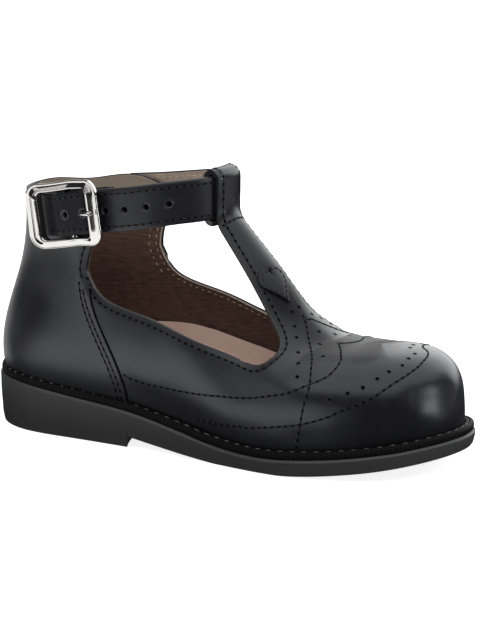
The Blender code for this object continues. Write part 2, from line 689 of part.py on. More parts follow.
def frame_path():
    """Middle line of the buckle's frame in the strap's plane, with its outward directions."""
    half_s = BUCKLE_LENGTH / 2.0 - BUCKLE_SIDE_BAR / 2.0
    half_u = BUCKLE_HEIGHT / 2.0 - BUCKLE_LONG_BAR / 2.0
    points, normals = [], []
    for quarter in range(4):
        sign_s = (1, -1, -1, 1)[quarter]
        sign_u = (1, 1, -1, -1)[quarter]
        centre = np.array([sign_s * (half_s - BUCKLE_CORNER), sign_u * (half_u - BUCKLE_CORNER)])
        for angle in np.linspace(0.0, 90.0, 5) + 90.0 * quarter:
            normal = np.array([math.cos(math.radians(angle)), math.sin(math.radians(angle))])
            points.append(centre + BUCKLE_CORNER * normal)
            normals.append(normal)
        if quarter in (0, 2):
            for share in (0.2, 0.4, 0.6, 0.8):
                along = sign_s * (half_s - BUCKLE_CORNER) * (1.0 - 2.0 * share)
                points.append(np.array([along, sign_u * half_u]))
                normals.append(np.array([0.0, sign_u]))
    return np.array(points), np.array(normals)


def make_buckle(parts, cutters, ribbon):
    """Buckle frame with its centre bar, dished to follow the ankle."""
    path, normals = frame_path()
    half = (BUCKLE_LONG_BAR + (BUCKLE_SIDE_BAR - BUCKLE_LONG_BAR) * np.abs(normals[:, 0])) / 2.0
    rings = []
    for turn in (np.arange(FRAME_SIDES) + 0.5) * 2.0 * math.pi / FRAME_SIDES:
        across = FRAME_FULLNESS * math.cos(turn)
        out = FRAME_FULLNESS * math.sin(turn)
        line = path + (across * half)[:, None] * normals
        rise = FRAME_RISE + FRAME_DISH * (line[:, 0] / (BUCKLE_LENGTH / 2.0)) ** 2
        rings.append(ribbon.point(ribbon.bar + line[:, 0], line[:, 1], rise + out * BUCKLE_DEPTH / 2.0))
    shape = bmesh.new()
    add_grid(shape, np.stack(rings, axis=1), close_rows=True, close_columns=True)
    frame = finish("buckle_frame", shape, parts, new_material("buckle metal", (0.80, 0.79, 0.77), 0.12, 1.0))
    reach = BUCKLE_HEIGHT / 2.0 - BUCKLE_LONG_BAR / 2.0
    low, high = (ribbon.point(ribbon.bar, u, CENTRE_BAR_RISE) for u in (-reach, reach))
    bar = make_rod("centre bar", low, high, CENTRE_BAR_RADIUS, cutters)
    cut(frame, bar, "UNION")


def make_prong(parts, ribbon):
    """Prong: from the centre bar, up through a hole of the strap, to the top of the front bar."""
    place = np.linspace(0.0, len(PRONG_PATH) - 1.0, 19)
    path = spline(np.array(PRONG_PATH), place)
    points = ribbon.point(ribbon.bar - path[:, 0], np.zeros(len(path)), path[:, 1])
    curve = bpy.data.curves.new("buckle_prong", "CURVE")
    curve.dimensions = "3D"
    curve.bevel_depth = PRONG_RADIUS * MM
    curve.bevel_resolution = 2
    curve.use_fill_caps = True
    line = curve.splines.new("POLY")
    line.points.add(len(points) - 1)
    for knot, point in zip(line.points, points):
        knot.co = (*(point * MM), 1.0)
    curve.materials.append(new_material("prong metal", (0.80, 0.79, 0.77), 0.15, 1.0))
    parts.objects.link(bpy.data.objects.new("buckle_prong", curve))


def bar_point(t, y, height):
    """Point over the T-bar at row t, y across it and height above its outer face."""
    step = 0.01
    shares = np.linspace(0.4, 1.0, 121)
    rows = t if y < 0.0 else TURN - t
    turn = -1.0 if y < 0.0 else 1.0

    def on_bar(row, across):
        line = front(np.array([row]), shares[None])[0]
        reach = np.abs(line[:, 1] - line[-1, 1])
        return np.array([np.interp(-abs(across), -reach, line[:, k]) for k in range(3)])

    here = on_bar(rows, y)
    along = on_bar(rows - turn * step, y) - on_bar(rows + turn * step, y)
    across = on_bar(rows, abs(y) + 0.1) - on_bar(rows, max(abs(y) - 0.1, 0.0))
    out = np.cross(across, along)
    out *= math.copysign(1.0, out[2]) / np.linalg.norm(out)
    return here + (WALL + GAP + height) * out


def make_heart(parts):
    """Heart sewn on the T-bar, cut from the bar's own curved face."""
    turns = np.linspace(0.0, 2.0 * math.pi, HEART_POINTS, endpoint=False) + 1e-3
    across = np.sin(turns) ** 3
    along = (13 * np.cos(turns) - 5 * np.cos(2 * turns) - 2 * np.cos(3 * turns) - np.cos(4 * turns)) / 16.0
    shape = bmesh.new()
    rings = []
    for share, height in HEART_RINGS:
        rows = HEART_ROW + HEART_ALONG * share * along
        sides = HEART_SIDE + HEART_HALF * share * across
        rings.append([bar_point(row, y, height) for row, y in zip(rows, sides)])
    points = add_grid(shape, np.array(rings), close_columns=True)
    shape.faces.new(points[0])
    shape.faces.new(points[-1])
    finish("heart_patch", shape, parts, new_material("patch leather", (0.010, 0.010, 0.011), 0.35))


def main():
    for item in list(bpy.data.objects):
        bpy.data.objects.remove(item, do_unlink=True)
    parts = new_collection("School shoe")
    cutters = new_collection("Cutters")
    ribbon = Ribbon()
    make_outsole(parts, cutters)
    make_welt(parts)
    make_insole(parts)
    make_upper(parts)
    make_strap(parts, cutters, ribbon)
    make_buckle(parts, cutters, ribbon)
    make_prong(parts, ribbon)
    make_heart(parts)


main()
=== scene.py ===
# %% [markdown]
# # A child's T-bar school shoe
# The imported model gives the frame: plain solids for the sole, the welt, the upper and the buckle, all in
# metres and all in their right places. This lesson dresses them. Each solid is replaced by a finer surface
# worked out from the same sizes, and then come the things that make it a shoe: seams, stitches, pinholes,
# lining and finishes.

# %% Load the frame
import math

import bmesh
import bpy
import numpy as np
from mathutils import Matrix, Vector
from mathutils.bvhtree import BVHTree


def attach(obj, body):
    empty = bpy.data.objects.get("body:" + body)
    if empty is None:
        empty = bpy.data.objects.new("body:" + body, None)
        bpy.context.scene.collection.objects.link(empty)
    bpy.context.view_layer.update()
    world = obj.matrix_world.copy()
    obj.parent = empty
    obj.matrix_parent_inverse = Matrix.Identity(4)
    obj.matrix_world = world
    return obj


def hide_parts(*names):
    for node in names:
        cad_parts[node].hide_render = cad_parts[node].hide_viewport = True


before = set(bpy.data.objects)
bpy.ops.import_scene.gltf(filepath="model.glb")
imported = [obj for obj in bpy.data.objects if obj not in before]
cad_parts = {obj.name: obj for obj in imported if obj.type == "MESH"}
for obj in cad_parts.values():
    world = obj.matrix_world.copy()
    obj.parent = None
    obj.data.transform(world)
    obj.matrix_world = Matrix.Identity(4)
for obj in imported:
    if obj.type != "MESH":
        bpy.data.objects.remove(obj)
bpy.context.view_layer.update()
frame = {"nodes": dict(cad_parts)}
MM = 0.001
print("nodes:", ", ".join(frame["nodes"]))

# %% [markdown]
# ## Camera
# The photograph was taken with a long lens from the outer side of the shoe, a little in front of it and
# above it. A camera is placed by two angles and a distance from a point inside the shoe, so the view can be
# described in words: 31 degrees round from the side, 13 degrees above the floor, 1.1 metres away.

# %% Camera
AZIMUTH, ELEVATION, DISTANCE = math.radians(31.0), math.radians(13.0), 1.1
LOOK_AT = Vector((0.0079, -0.0058, 0.0400))
PIXELS_PER_MM, PICTURE_HEIGHT = 3.28, 640.0
SENSOR, FAR_CLIP = 36.0, 20.0

to_camera = Vector((math.sin(AZIMUTH) * math.cos(ELEVATION), -math.cos(AZIMUTH) * math.cos(ELEVATION),
                    math.sin(ELEVATION)))
lens = bpy.data.cameras.new("camera")
lens.sensor_width = SENSOR
lens.lens = PIXELS_PER_MM * DISTANCE / MM * SENSOR / PICTURE_HEIGHT
lens.clip_end = FAR_CLIP
camera = bpy.data.objects.new("camera", lens)
camera.location = LOOK_AT + to_camera * DISTANCE
camera.rotation_euler = to_camera.to_track_quat("Z", "Y").to_euler()
bpy.context.scene.collection.objects.link(camera)
bpy.context.scene.camera = camera
print("lens %.1f mm" % lens.lens)

# %% [markdown]
# ## Studio light
# Black leather shows hardly any light of its own, only reflections, so each light is a soft panel that stands
# where the leather should mirror it: a wide one overhead for the toe and the vamp, two behind for the bright
# rim of the toe and the top of the vamp, a low and a high one on the camera's left for the long side, three
# lying on the table, and a small one ahead of the toe. Between them the room is dark, which gives the leather
# its depth.

# %% Lights
# Name, place, point it shines at, width and height in metres, power in watts
SOFT_LIGHTS = (
    ("overhead", (0.725, -0.275, 1.04), (0.725, -0.275, 0.0), 2.55, 3.05, 32.5),
    ("behind", (0.08, 1.5, 0.62), (0.0, 0.0, 0.30), 1.75, 1.2, 14.0),
    ("behind left", (-1.07, 1.19, 0.62), (0.0, 0.0, 0.30), 0.8, 1.2, 1.6),
    ("low left", (-0.80, -0.95, 0.27), (0.0, 0.0, 0.05), 0.75, 0.27, 0.58),
    ("high left", (-0.68, -0.82, 0.75), (0.0, 0.0, 0.04), 0.9, 0.9, 1.2),
    ("table left", (-0.25, -0.205, 0.004), (-0.25, -0.205, 1.0), 0.60, 0.30, 0.92),
    ("table behind", (-0.56, 0.25, 0.004), (-0.56, 0.25, 1.0), 0.88, 0.55, 1.2),
    ("table ahead", (0.40, 0.30, 0.004), (0.40, 0.30, 1.0), 0.40, 0.40, 0.35),
    ("toe", (1.19, 0.26, 0.12), (0.08, 0.0, 0.03), 0.30, 0.22, 1.7))
ROOM_TINT, ROOM_STRENGTH = (0.92, 0.95, 1.0, 1.0), 0.03


def soft_light(name, place, towards, width, height, power):
    """Rectangle light at a place, turned so that it shines towards a point."""
    light = bpy.data.lights.new(name, "AREA")
    light.shape = "RECTANGLE"
    light.size, light.size_y, light.energy = width, height, power
    lamp = bpy.data.objects.new(name, light)
    lamp.location = place
    lamp.rotation_euler = (Vector(place) - Vector(towards)).to_track_quat("Z", "Y").to_euler()
    lamp.visible_camera = False
    bpy.context.scene.collection.objects.link(lamp)


for row in SOFT_LIGHTS:
    soft_light(*row)
world = bpy.data.worlds.new("studio")
world.use_nodes = True
world.node_tree.nodes["Background"].inputs["Color"].default_value = ROOM_TINT
world.node_tree.nodes["Background"].inputs["Strength"].default_value = ROOM_STRENGTH
bpy.context.scene.world = world
bpy.context.scene.view_settings.view_transform = "Standard"
print("soft lights:", len(SOFT_LIGHTS))

# %% [markdown]
# ## Floor
# The shoe stands on a white table that is lit from beneath, so it throws hardly any shadow. One large square
# is enough. It is kept out of the reflections: the leather mirrors only the panels that lie on the table.

# %% Floor
FLOOR_HALF, FLOOR_DROP = 4.0, 0.0002
floor_mesh = bpy.data.meshes.new("floor")
floor_mesh.from_pydata([(-FLOOR_HALF, -FLOOR_HALF, 0.0), (FLOOR_HALF, -FLOOR_HALF, 0.0),
                        (FLOOR_HALF, FLOOR_HALF, 0.0), (-FLOOR_HALF, FLOOR_HALF, 0.0)], [], [(0, 1, 2, 3)])
floor = bpy.data.objects.new("floor", floor_mesh)
floor.location.z = -FLOOR_DROP
floor.visible_glossy = False
bpy.context.scene.collection.objects.link(floor)
print("floor, m:", 2.0 * FLOOR_HALF)

# %% [markdown]
# ## Writing finishes as sums
# A finish is a material whose colour, roughness and bump come from nodes. Wiring nodes by hand is slow to
# read, so one small class wraps a socket: adding or multiplying two of them adds a Math node, and one method
# adds any other node.

# %% Finish helper
class Wire:
    """A socket of a finish. Sums on wires become Math nodes."""

    def __init__(self, finish, socket):
        self.finish, self.socket = finish, socket

    def __add__(self, other):
        return self.finish.maths("ADD", self, other)

    def __sub__(self, other):
        return self.finish.maths("SUBTRACT", self, other)

    def __rsub__(self, other):
        return self.finish.maths("SUBTRACT", other, self)

    def __mul__(self, other):
        return self.finish.maths("MULTIPLY", self, other)

    def __pow__(self, other):
        return self.finish.maths("POWER", self, other)

    __radd__, __rmul__ = __add__, __mul__


def socket_name(key):
    """Name of a shader's socket from a Python name: coat_ior becomes Coat IOR."""
    return key.replace("_", " ").title().replace("Ior", "IOR")


class Finish:
    """A material: constant values go straight on the shader, changing ones come from wires."""

    def __init__(self, name, colour, **constants):
        self.material = bpy.data.materials.new(name)
        self.material.use_nodes = True
        self.tree = self.material.node_tree
        self.shader = self.tree.nodes["Principled BSDF"]
        self.wear(base_color=(*colour, 1.0), **constants)

    def node(self, kind, settings=None, inputs=None, output=0):
        """Any node: its settings first, then the values or wires of its sockets."""
        made = self.tree.nodes.new(kind)
        for key, value in (settings or {}).items():
            setattr(made, key, value)
        for key, value in (inputs or {}).items():
            self.join(made.inputs[key], value)
        return Wire(self, made.outputs[output])

    def join(self, socket, value):
        """Link a wire to a socket, or set its value."""
        if isinstance(value, Wire):
            self.tree.links.new(value.socket, socket)
        else:
            socket.default_value = value

    def maths(self, operation, a, b=0.0):
        """Math node on two wires or numbers."""
        return self.node("ShaderNodeMath", {"operation": operation}, {0: a, 1: b})

    def place(self, scale=(1.0, 1.0, 1.0)):
        """Object coordinates in metres, stretched by a scale."""
        point = self.node("ShaderNodeTexCoord", output="Object")
        return self.node("ShaderNodeVectorMath", {"operation": "MULTIPLY"}, {0: point, 1: scale})

    def noise(self, scale, detail=2.0, stretch=(1.0, 1.0, 1.0)):
        """Cloudy pattern from 0 to 1, with its size in lumps per metre."""
        return self.node("ShaderNodeTexNoise", None, {
            "Vector": self.place(stretch), "Scale": scale, "Detail": detail})

    def attribute(self, name):
        """A number kept on the points of the piece."""
        return self.node("ShaderNodeAttribute", {"attribute_name": name}, output="Fac")

    def between(self, value, low, high):
        """0 below low, 1 above high and smooth between them."""
        return self.node("ShaderNodeMapRange", {"interpolation_type": "SMOOTHSTEP"}, {
            "Value": value, "From Min": low, "From Max": high})

    def blend(self, share, first, second):
        """Colour that goes from the first to the second."""
        first, second = (c if isinstance(c, Wire) else (*c, 1.0) for c in (first, second))
        return self.node("ShaderNodeMix", {"data_type": "RGBA"}, {0: share, 6: first, 7: second}, 2)

    def bump(self, height, depth, strength=1.0):
        """Normal of a surface whose height, in depth metres, is given by a wire."""
        return self.node("ShaderNodeBump", None, {"Height": height, "Distance": depth, "Strength": strength})

    def wear(self, **values):
        """Feed the shader's own sockets with wires or constants."""
        for key, value in values.items():
            self.join(self.shader.inputs[socket_name(key)], value)
        return self.material

    def worn_to(self, share, colour, normal, **constants):
        """Mix in a second, plainer shader by a share, where the top finish has gone."""
        inputs = {socket_name(key): value for key, value in constants.items()}
        bare = self.node("ShaderNodeBsdfPrincipled", None, {
            "Base Color": (*colour, 1.0), "Normal": normal, **inputs})
        top = Wire(self, self.shader.outputs[0])
        mixed = self.node("ShaderNodeMixShader", None, {0: share, 1: top, 2: bare})
        self.join(self.tree.nodes["Material Output"].inputs["Surface"], mixed)


floor_finish = Finish("pale floor", (0.93, 0.93, 0.93), roughness=0.9, emission_color=(1.0, 1.0, 1.0, 1.0),
                      emission_strength=0.85)
floor_mesh.materials.append(floor_finish.wear(
    base_color=floor_finish.blend(floor_finish.noise(3.0), (0.92, 0.92, 0.92), (0.94, 0.94, 0.94))))
print("first finish:", floor_finish.material.name)

# %% [markdown]
# ## Curves through a few places
# Shoe patterns are drawn from a few measured places joined by fair curves. Two kinds are used here: one with
# even curvature for the outline of the last, and one that never swings past its values, for the crest.

# %% Fair curves
def hermite(a, b, slope_a, slope_b, u):
    """Cubic from a to b that leaves and arrives with the given slopes, u going from 0 to 1."""
    return ((1 + 2 * u) * (1 - u) ** 2 * a + u * (1 - u) ** 2 * slope_a
            + u * u * (3 - 2 * u) * b - u * u * (1 - u) * slope_b)


def spline(values, t, closed=False):
    """Curve through values at t = 0, 1, 2 and so on; its slopes solve the usual three-term system."""
    values = np.asarray(values, float)
    n = len(values)
    system = 4.0 * np.eye(n) + np.roll(np.eye(n), 1, 0) + np.roll(np.eye(n), -1, 0)
    right = 3.0 * (np.roll(values, -1, 0) - np.roll(values, 1, 0))
    if not closed:
        system[0], system[-1] = 0.0, 0.0
        system[0, :2], system[-1, -2:] = (2.0, 1.0), (1.0, 2.0)
        right[0], right[-1] = 3.0 * (values[1] - values[0]), 3.0 * (values[-1] - values[-2])
    slopes = np.linalg.solve(system, right)
    i = np.floor(t).astype(int)
    if not closed:
        i = np.clip(i, 0, n - 2)
    u = (t - i)[:, None]
    return hermite(values[i % n], values[(i + 1) % n], slopes[i % n], slopes[(i + 1) % n], u)


def steady(values, t):
    """Curve through values that never swings past them: a slope is the harmonic mean of its two steps."""
    values = np.asarray(values, float)
    steps = np.diff(values, axis=0)
    before, after = steps[:-1], steps[1:]
    same = before * after > 0.0
    slopes = np.where(same, 2.0 * before * after / np.where(same, before + after, 1.0), 0.0)
    slopes = np.concatenate([steps[:1], slopes, steps[-1:]])
    i = np.clip(np.floor(t).astype(int), 0, len(values) - 2)
    return hermite(values[i], values[i + 1], slopes[i], slopes[i + 1], (t - i)[:, None])


print("curve through 0, 1, 0 half way:", spline([[0.0], [1.0], [0.0]], np.array([0.5]))[0, 0])

# %% [markdown]
# ## Small sums on tables of points
# A few sums come back in every piece: the direction of a vector, a smooth step, the way along a line and a
# reading between its points. Each works on whole tables at once, which is quick and short to write.

# %% Sums on tables
def unit(rows):
    """Rows of a table, each divided by its length."""
    return rows / np.linalg.norm(rows, axis=-1, keepdims=True)


def smooth_step(share):
    """0 below 0, 1 above 1, and 3 s^2 - 2 s^3 between them."""
    share = np.clip(share, 0.0, 1.0)
    return share * share * (3.0 - 2.0 * share)


def way_along(points):
    """Distance from the first point to each point along their line: the running sum of the steps."""
    return np.concatenate([[0.0], np.cumsum(np.linalg.norm(np.diff(points, axis=0), axis=1))])


def read_at(at, way, rows):
    """Rows that belong to distances along a way, read off in a straight line at other distances."""
    return np.stack([np.interp(at, way, column) for column in np.transpose(rows)], axis=-1)


print("a step a quarter of the way up: %.2f" % smooth_step(0.25))

# %% [markdown]
# ## The last
# A shoe is built round a last, a block in the shape of the foot. Its bottom edge is the feather line, where
# the upper turns in under the foot. Thirteen sections from toe to heel say where that edge lies on the two
# sides, where the belt half way up lies, and how the wall leans. A place on the last is then two numbers: the
# row, which runs round the shoe from the toe along the outer side to the heel and back along the inner side,
# and the climb up the wall.

# %% Sections of the last
# x, outer y, inner y of the feather line; x, outer y, inner y, z of the belt; two slopes; reach of the sole
LAST = np.array([
    (75.6, 4.0, 4.0, 75.2, 4.0, 4.0, 22.0, 0.10, -0.10, 5.3),
    (67.2, -14.2, 20.6, 67.0, -14.6, 21.1, 22.0, 0.10, -0.10, 5.3),
    (51.6, -21.6, 25.2, 51.6, -22.2, 26.0, 22.5, 0.15, -0.12, 5.3),
    (35.0, -24.5, 25.6, 35.2, -24.6, 25.8, 24.5, 0.15, -0.20, 5.3),
    (19.0, -23.6, 24.0, 21.0, -21.2, 21.4, 30.4, 0.12, -0.45, 5.3),
    (4.0, -21.7, 20.6, 3.0, -21.6, 20.0, 35.6, 0.15, -0.25, 5.3),
    (-7.5, -20.6, 18.6, -13.5, -21.6, 20.0, 40.8, 0.20, -0.12, 5.2),
    (-16.0, -20.2, 18.0, -30.2, -21.1, 20.2, 44.9, 0.22, -0.10, 5.0),
    (-23.0, -20.0, 18.0, -37.2, -20.5, 19.9, 53.5, 0.24, -0.08, 4.9),
    (-42.0, -19.9, 19.2, -45.0, -18.5, 18.4, 60.5, 0.28, -0.05, 4.7),
    (-60.0, -19.0, 18.8, -60.5, -14.6, 14.4, 51.5, 0.30, -0.20, 4.5),
    (-71.7, -11.5, 11.5, -68.2, -8.7, 8.7, 48.5, 0.30, -0.28, 4.4),
    (-75.6, 0.0, 0.0, -70.6, 0.0, 0.0, 48.0, 0.30, -0.29, 4.4)])
HEEL = len(LAST) - 1
TURN = 2 * HEEL
OUTER_SIDE = [0, 1, 3, 4, 6, 7, 8, 9]
INNER_SIDE = [0, 2, 3, 5, 6, 7, 8, 9]
LAST_LOOP = np.concatenate([LAST[:, OUTER_SIDE], LAST[-2:0:-1][:, INNER_SIDE]])
# Crest of the vamp and T-bar: x, y, z, roundness of the shoulder below it, sweep of that shoulder
CREST = ((52.5, 2.0, 34.6, 0.74, 1.0), (52.5, 2.0, 34.6, 0.72, 1.0), (47.0, 1.6, 34.0, 0.66, 0.9),
         (38.0, 1.0, 34.3, 0.60, 0.7), (27.6, 0.3, 40.4, 0.52, 0.4), (13.6, 0.0, 56.8, 0.50, 0.1),
         (2.6, 0.0, 68.6, 0.48, 0.0))
# Collar round the heel: x, y, z, lean
COLLAR = ((-28.5, -19.8, 80.2, 0.00), (-46.0, -18.8, 77.2, 0.02), (-58.5, -14.6, 75.0, 0.05),
          (-66.0, -8.2, 74.4, 0.05), (-68.7, 0.0, 74.2, 0.05), (-66.0, 8.2, 74.4, 0.05),
          (-58.5, 14.4, 74.0, 0.05), (-46.0, 18.6, 75.6, 0.02), (-33.5, 20.2, 71.5, 0.00))
SOLE_TOP_X = (-80.0, -60.0, -40.0, -20.0, 0.0, 14.0, 27.0, 40.0, 55.0, 70.0, 80.0)
SOLE_TOP_Z = (15.9, 15.0, 13.1, 11.2, 7.7, 5.4, 4.7, 5.4, 7.1, 9.4, 11.2)
CLEARANCE, FOOT_RISE = 0.3, 0.6
# Rows where the quarter's front edge stands and where the T-bar ends
SEAM, BAR_TOP = 8, 6
UP = np.array([0.0, 0.0, 1.0])
print("rows round the last:", TURN)

# %% [markdown]
# ## Walls of the last
# The wall has three kinds of surface, each a function of row and share: the side from the feather line to
# the belt, the front from the belt over the vamp to the crest, and the back from the belt up to the collar.
# Each is a cubic whose end slopes are given, so neighbouring surfaces meet without a crease.

# %% Surfaces of the last
NUDGE = 0.001


def sole_top(x):
    """Height of the top of the sole: a fair curve through measured heights along the shoe."""
    place = np.interp(x, SOLE_TOP_X, np.arange(len(SOLE_TOP_X)))
    return spline(np.array(SOLE_TOP_Z)[:, None], np.ravel(place))[:, 0].reshape(np.shape(x))


def last_line(t):
    """Feather point, belt point, outward direction, two slopes and reach of the sole at rows t."""
    t = np.atleast_1d(np.asarray(t, float))
    values = spline(LAST_LOOP, t, closed=True)
    ahead, astern = (spline(LAST_LOOP[:, :2], t + nudge, closed=True) for nudge in (NUDGE, -NUDGE))
    run = unit(ahead - astern)
    out = np.column_stack([-run[:, 1], run[:, 0], np.zeros(len(t))])
    foot = sole_top(values[:, 0]) + CLEARANCE + FOOT_RISE
    feather = np.column_stack([values[:, :2], foot])
    return feather, values[:, 2:5], out, values[:, 5:6], values[:, 6:7], values[:, 7]


def side(t, share):
    """Side wall: cubic from the feather line (share 0) to the belt (share 1)."""
    feather, belt, out, flare, lean, _ = last_line(t)
    height = (belt - feather)[:, 2:3]
    leave, arrive = height * (flare * out + UP), height * (lean * out + UP)
    return hermite(feather[:, None], belt[:, None], leave[:, None], arrive[:, None], share[..., None])


def crest(t):
    """Crest point, shoulder roundness and sweep, the same on both sides of the shoe."""
    values = steady(CREST, np.clip(np.minimum(t, TURN - t), 0.0, len(CREST) - 1))
    return values[:, :3], values[:, 3:4], values[:, 4]


def front(t, share):
    """Vamp and T-bar: four-point curve from the belt (share 0) over a round shoulder to the crest."""
    _, belt, out, _, lean, _ = last_line(t)
    top, roundness, sweep = crest(t)
    reach = (belt - top) * np.column_stack([sweep, np.ones_like(sweep), np.zeros_like(sweep)])
    shoulder = belt + roundness * (top - belt)[:, 2:3] * (lean * out + UP)
    a, b, c, d = (p[:, None] for p in (belt, shoulder, top + roundness * reach, top))
    u = share[..., None]
    return (1 - u) ** 3 * a + 3 * u * (1 - u) ** 2 * b + 3 * u * u * (1 - u) * c + u ** 3 * d


def back(t, share):
    """Quarter and heel: cubic from the belt (share 0) to the collar (share 1)."""
    _, belt, out, _, lean, _ = last_line(t)
    collar = spline(COLLAR, t - SEAM)
    height = (collar[:, :3] - belt)[:, 2:3]
    leave, arrive = height * (lean * out + UP), height * (collar[:, 3:4] * out + UP)
    return hermite(belt[:, None], collar[:, None, :3], leave[:, None], arrive[:, None], share[..., None])


print("toe of the last at", np.round(side(np.array([0.0]), np.array([[1.0]]))[0, 0], 1))

# %% [markdown]
# ## Opening and T-bar
# Beside the T-bar the upper is cut away. The cut is one round-ended opening on each side: its lower edge
# falls from the vamp to the belt and becomes the topline, its upper edge rises to the edge of the T-bar. At
# the top the bar turns over into a loop that holds the ankle strap.

# %% Edges of the opening
# Rows of the opening's tip, of the foot of its lower edge and of the top of its upper edge
OPENING_TIP, OPENING_LOW, OPENING_WIDE = 3.64, 4.20, 4.60
OPENING_SHARE, OPENING_POWER = 0.36, 2.3
BAR_HALF_WIDTH, BAR_FIRST_ROW = ((12.0,), (10.4,), (8.0,), (6.0,)), 3.0
HALVINGS = 24


def bar_share(t, half=None):
    """Share of the way to the crest at which the T-bar is as wide as it should be: halved in on."""
    if half is None:
        row = np.clip(np.minimum(t, TURN - t) - BAR_FIRST_ROW, 0.0, len(BAR_HALF_WIDTH) - 1.0)
        half = steady(BAR_HALF_WIDTH, row)[:, 0]
    middle = crest(t)[0][:, 1]
    low, high = np.zeros(len(t)), np.ones(len(t))
    for _ in range(HALVINGS):
        share = (low + high) / 2.0
        outside = np.abs(front(t, share[:, None])[:, 0, 1] - middle) > half
        low, high = np.where(outside, share, low), np.where(outside, high, share)
    return (low + high) / 2.0


def opening_run(t, end):
    """0 at the tip of the opening, 1 where it has its full height."""
    return np.clip((np.minimum(t, TURN - t) - OPENING_TIP) / (end - OPENING_TIP), 0.0, 1.0)


def opening_low(t):
    """Lower edge: a quarter of a squarish oval from the tip down to the belt."""
    away = 1.0 - opening_run(t, OPENING_LOW)
    return OPENING_SHARE * (1.0 - (1.0 - away ** OPENING_POWER) ** (1.0 / OPENING_POWER))


def opening_high(t):
    """Upper edge: a quarter of an oval from the tip up to the edge of the T-bar."""
    away = 1.0 - opening_run(t, OPENING_WIDE)
    return OPENING_SHARE + (bar_share(t) - OPENING_SHARE) * np.sqrt(1.0 - away ** 2)


print("T-bar share at the instep: %.2f" % bar_share(np.array([5.0]))[0])

# %% [markdown]
# ## Loop of the T-bar
# The end of the bar is folded back over the strap and sewn down behind it. It is the bar's own top line,
# carried along the side view of the fold and flattened on the way, so bar and loop are one piece of leather.

# %% Loop
# x and z of the loop's inner face, up its front and down its tail; the fold between them is half a circle
LOOP_RISE = ((2.6, 68.6), (1.0, 70.8), (0.2, 73.6), (0.0, 78.0), (0.0, 82.6))
LOOP_TAIL = ((-2.9, 78.0), (-2.9, 73.6), (-2.9, 71.2), (-2.5, 69.95), (-1.0, 69.6))
LOOP_RADIUS, LOOP_SAG_RADIUS = 1.45, 24.0
FOLD_STEPS, FLAT_BY = 6, 3.0


def bar_loop(line, count):
    """Loop of the T-bar: its top line carried up, over half a circle and down, flattening as it goes."""
    turn = np.linspace(0.0, math.pi, FOLD_STEPS + 1)[1:]
    centre = np.array(LOOP_RISE[-1]) - np.array([LOOP_RADIUS, 0.0])
    fold = centre + LOOP_RADIUS * np.column_stack([np.cos(turn), np.sin(turn)])
    knots = np.concatenate([LOOP_RISE, fold, LOOP_TAIL])
    place = np.linspace(0.0, len(knots) - 1.0, count)
    path = spline(knots, place)
    offset = line - line[len(line) // 2]
    sag = -offset[:, 1] ** 2 / (2.0 * LOOP_SAG_RADIUS)
    flat = np.column_stack([sag, offset[:, 1], np.zeros(len(line))])
    share = np.clip(place / FLAT_BY, 0.0, 1.0)[:, None, None]
    middle = np.column_stack([path[:, 0], np.full(count, line[len(line) // 2, 1]), path[:, 1]])
    return middle[:, None] + (1.0 - share) * offset + share * flat


print("knots of the loop:", len(LOOP_RISE) + FOLD_STEPS + len(LOOP_TAIL))

# %% [markdown]
# ## From grid to mesh
# Every surface is a grid of points, so one helper numbers its quads and another puts the arrays into a mesh.
# Where two grids share an edge their points coincide, and merging them closes the seam.

# %% Mesh helpers
MERGE_DISTANCE = 0.002


def grid_faces(rows, columns, close_rows=False, close_columns=False, start=0):
    """Quads of a grid stored row by row: (i, j), (i, j+1), (i+1, j+1), (i+1, j), wrapping where closed."""
    i = np.arange(rows if close_rows else rows - 1)[:, None]
    j = np.arange(columns if close_columns else columns - 1)[None]
    k, m = (i + 1) % rows, (j + 1) % columns
    corners = np.broadcast_arrays(i * columns + j, i * columns + m, k * columns + m, k * columns + j)
    return np.stack(corners, axis=-1).reshape(-1, 4) + start


def tube_faces(rows, columns, start=0):
    """Quads of a tube, whose rings are the rows of a grid, and one face over each of its ends."""
    ends = start + np.arange(columns) + np.array([[0], [(rows - 1) * columns]])
    return grid_faces(rows, columns, close_columns=True, start=start).tolist() + ends.tolist()


def new_mesh(name, points, faces):
    """Mesh from points in millimetres and faces that list their points."""
    mesh = bpy.data.meshes.new(name)
    faces = faces if isinstance(faces, list) else faces.tolist()
    mesh.from_pydata((np.reshape(points, (-1, 3)) * MM).tolist(), [], faces)
    return mesh


def merge_doubles(mesh, outward=True):
    """Make coinciding points one, drop empty faces and point the faces outwards."""
    shape = bmesh.new()
    shape.from_mesh(mesh)
    bmesh.ops.remove_doubles(shape, verts=shape.verts, dist=MERGE_DISTANCE * MM)
    bmesh.ops.dissolve_degenerate(shape, edges=shape.edges, dist=MERGE_DISTANCE * MM)
    if outward:
        bmesh.ops.recalc_face_normals(shape, faces=shape.faces)
    shape.to_mesh(mesh)
    shape.free()
    return mesh


print("faces of a 3 by 4 grid:", len(grid_faces(3, 4)))

# %% [markdown]
# ## Numbers on points, and pieces
# A finish can read a number that is kept on the points of a mesh, such as how dull the leather is there. A
# finished mesh becomes a piece: an object at the origin that rides on the shoe, belongs to one of its
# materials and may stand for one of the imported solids.

# %% Pieces
def keep_numbers(mesh, name, values):
    """Keep one number for each point of a mesh, for a finish to read."""
    kept = mesh.attributes.new(name, "FLOAT", "POINT")
    kept.data.foreach_set("value", np.asarray(values, np.float32).ravel())


def numbers(mesh, name):
    """Numbers that were kept on the points of a mesh."""
    values = np.empty(len(mesh.vertices), np.float32)
    mesh.attributes[name].data.foreach_get("value", values)
    return values


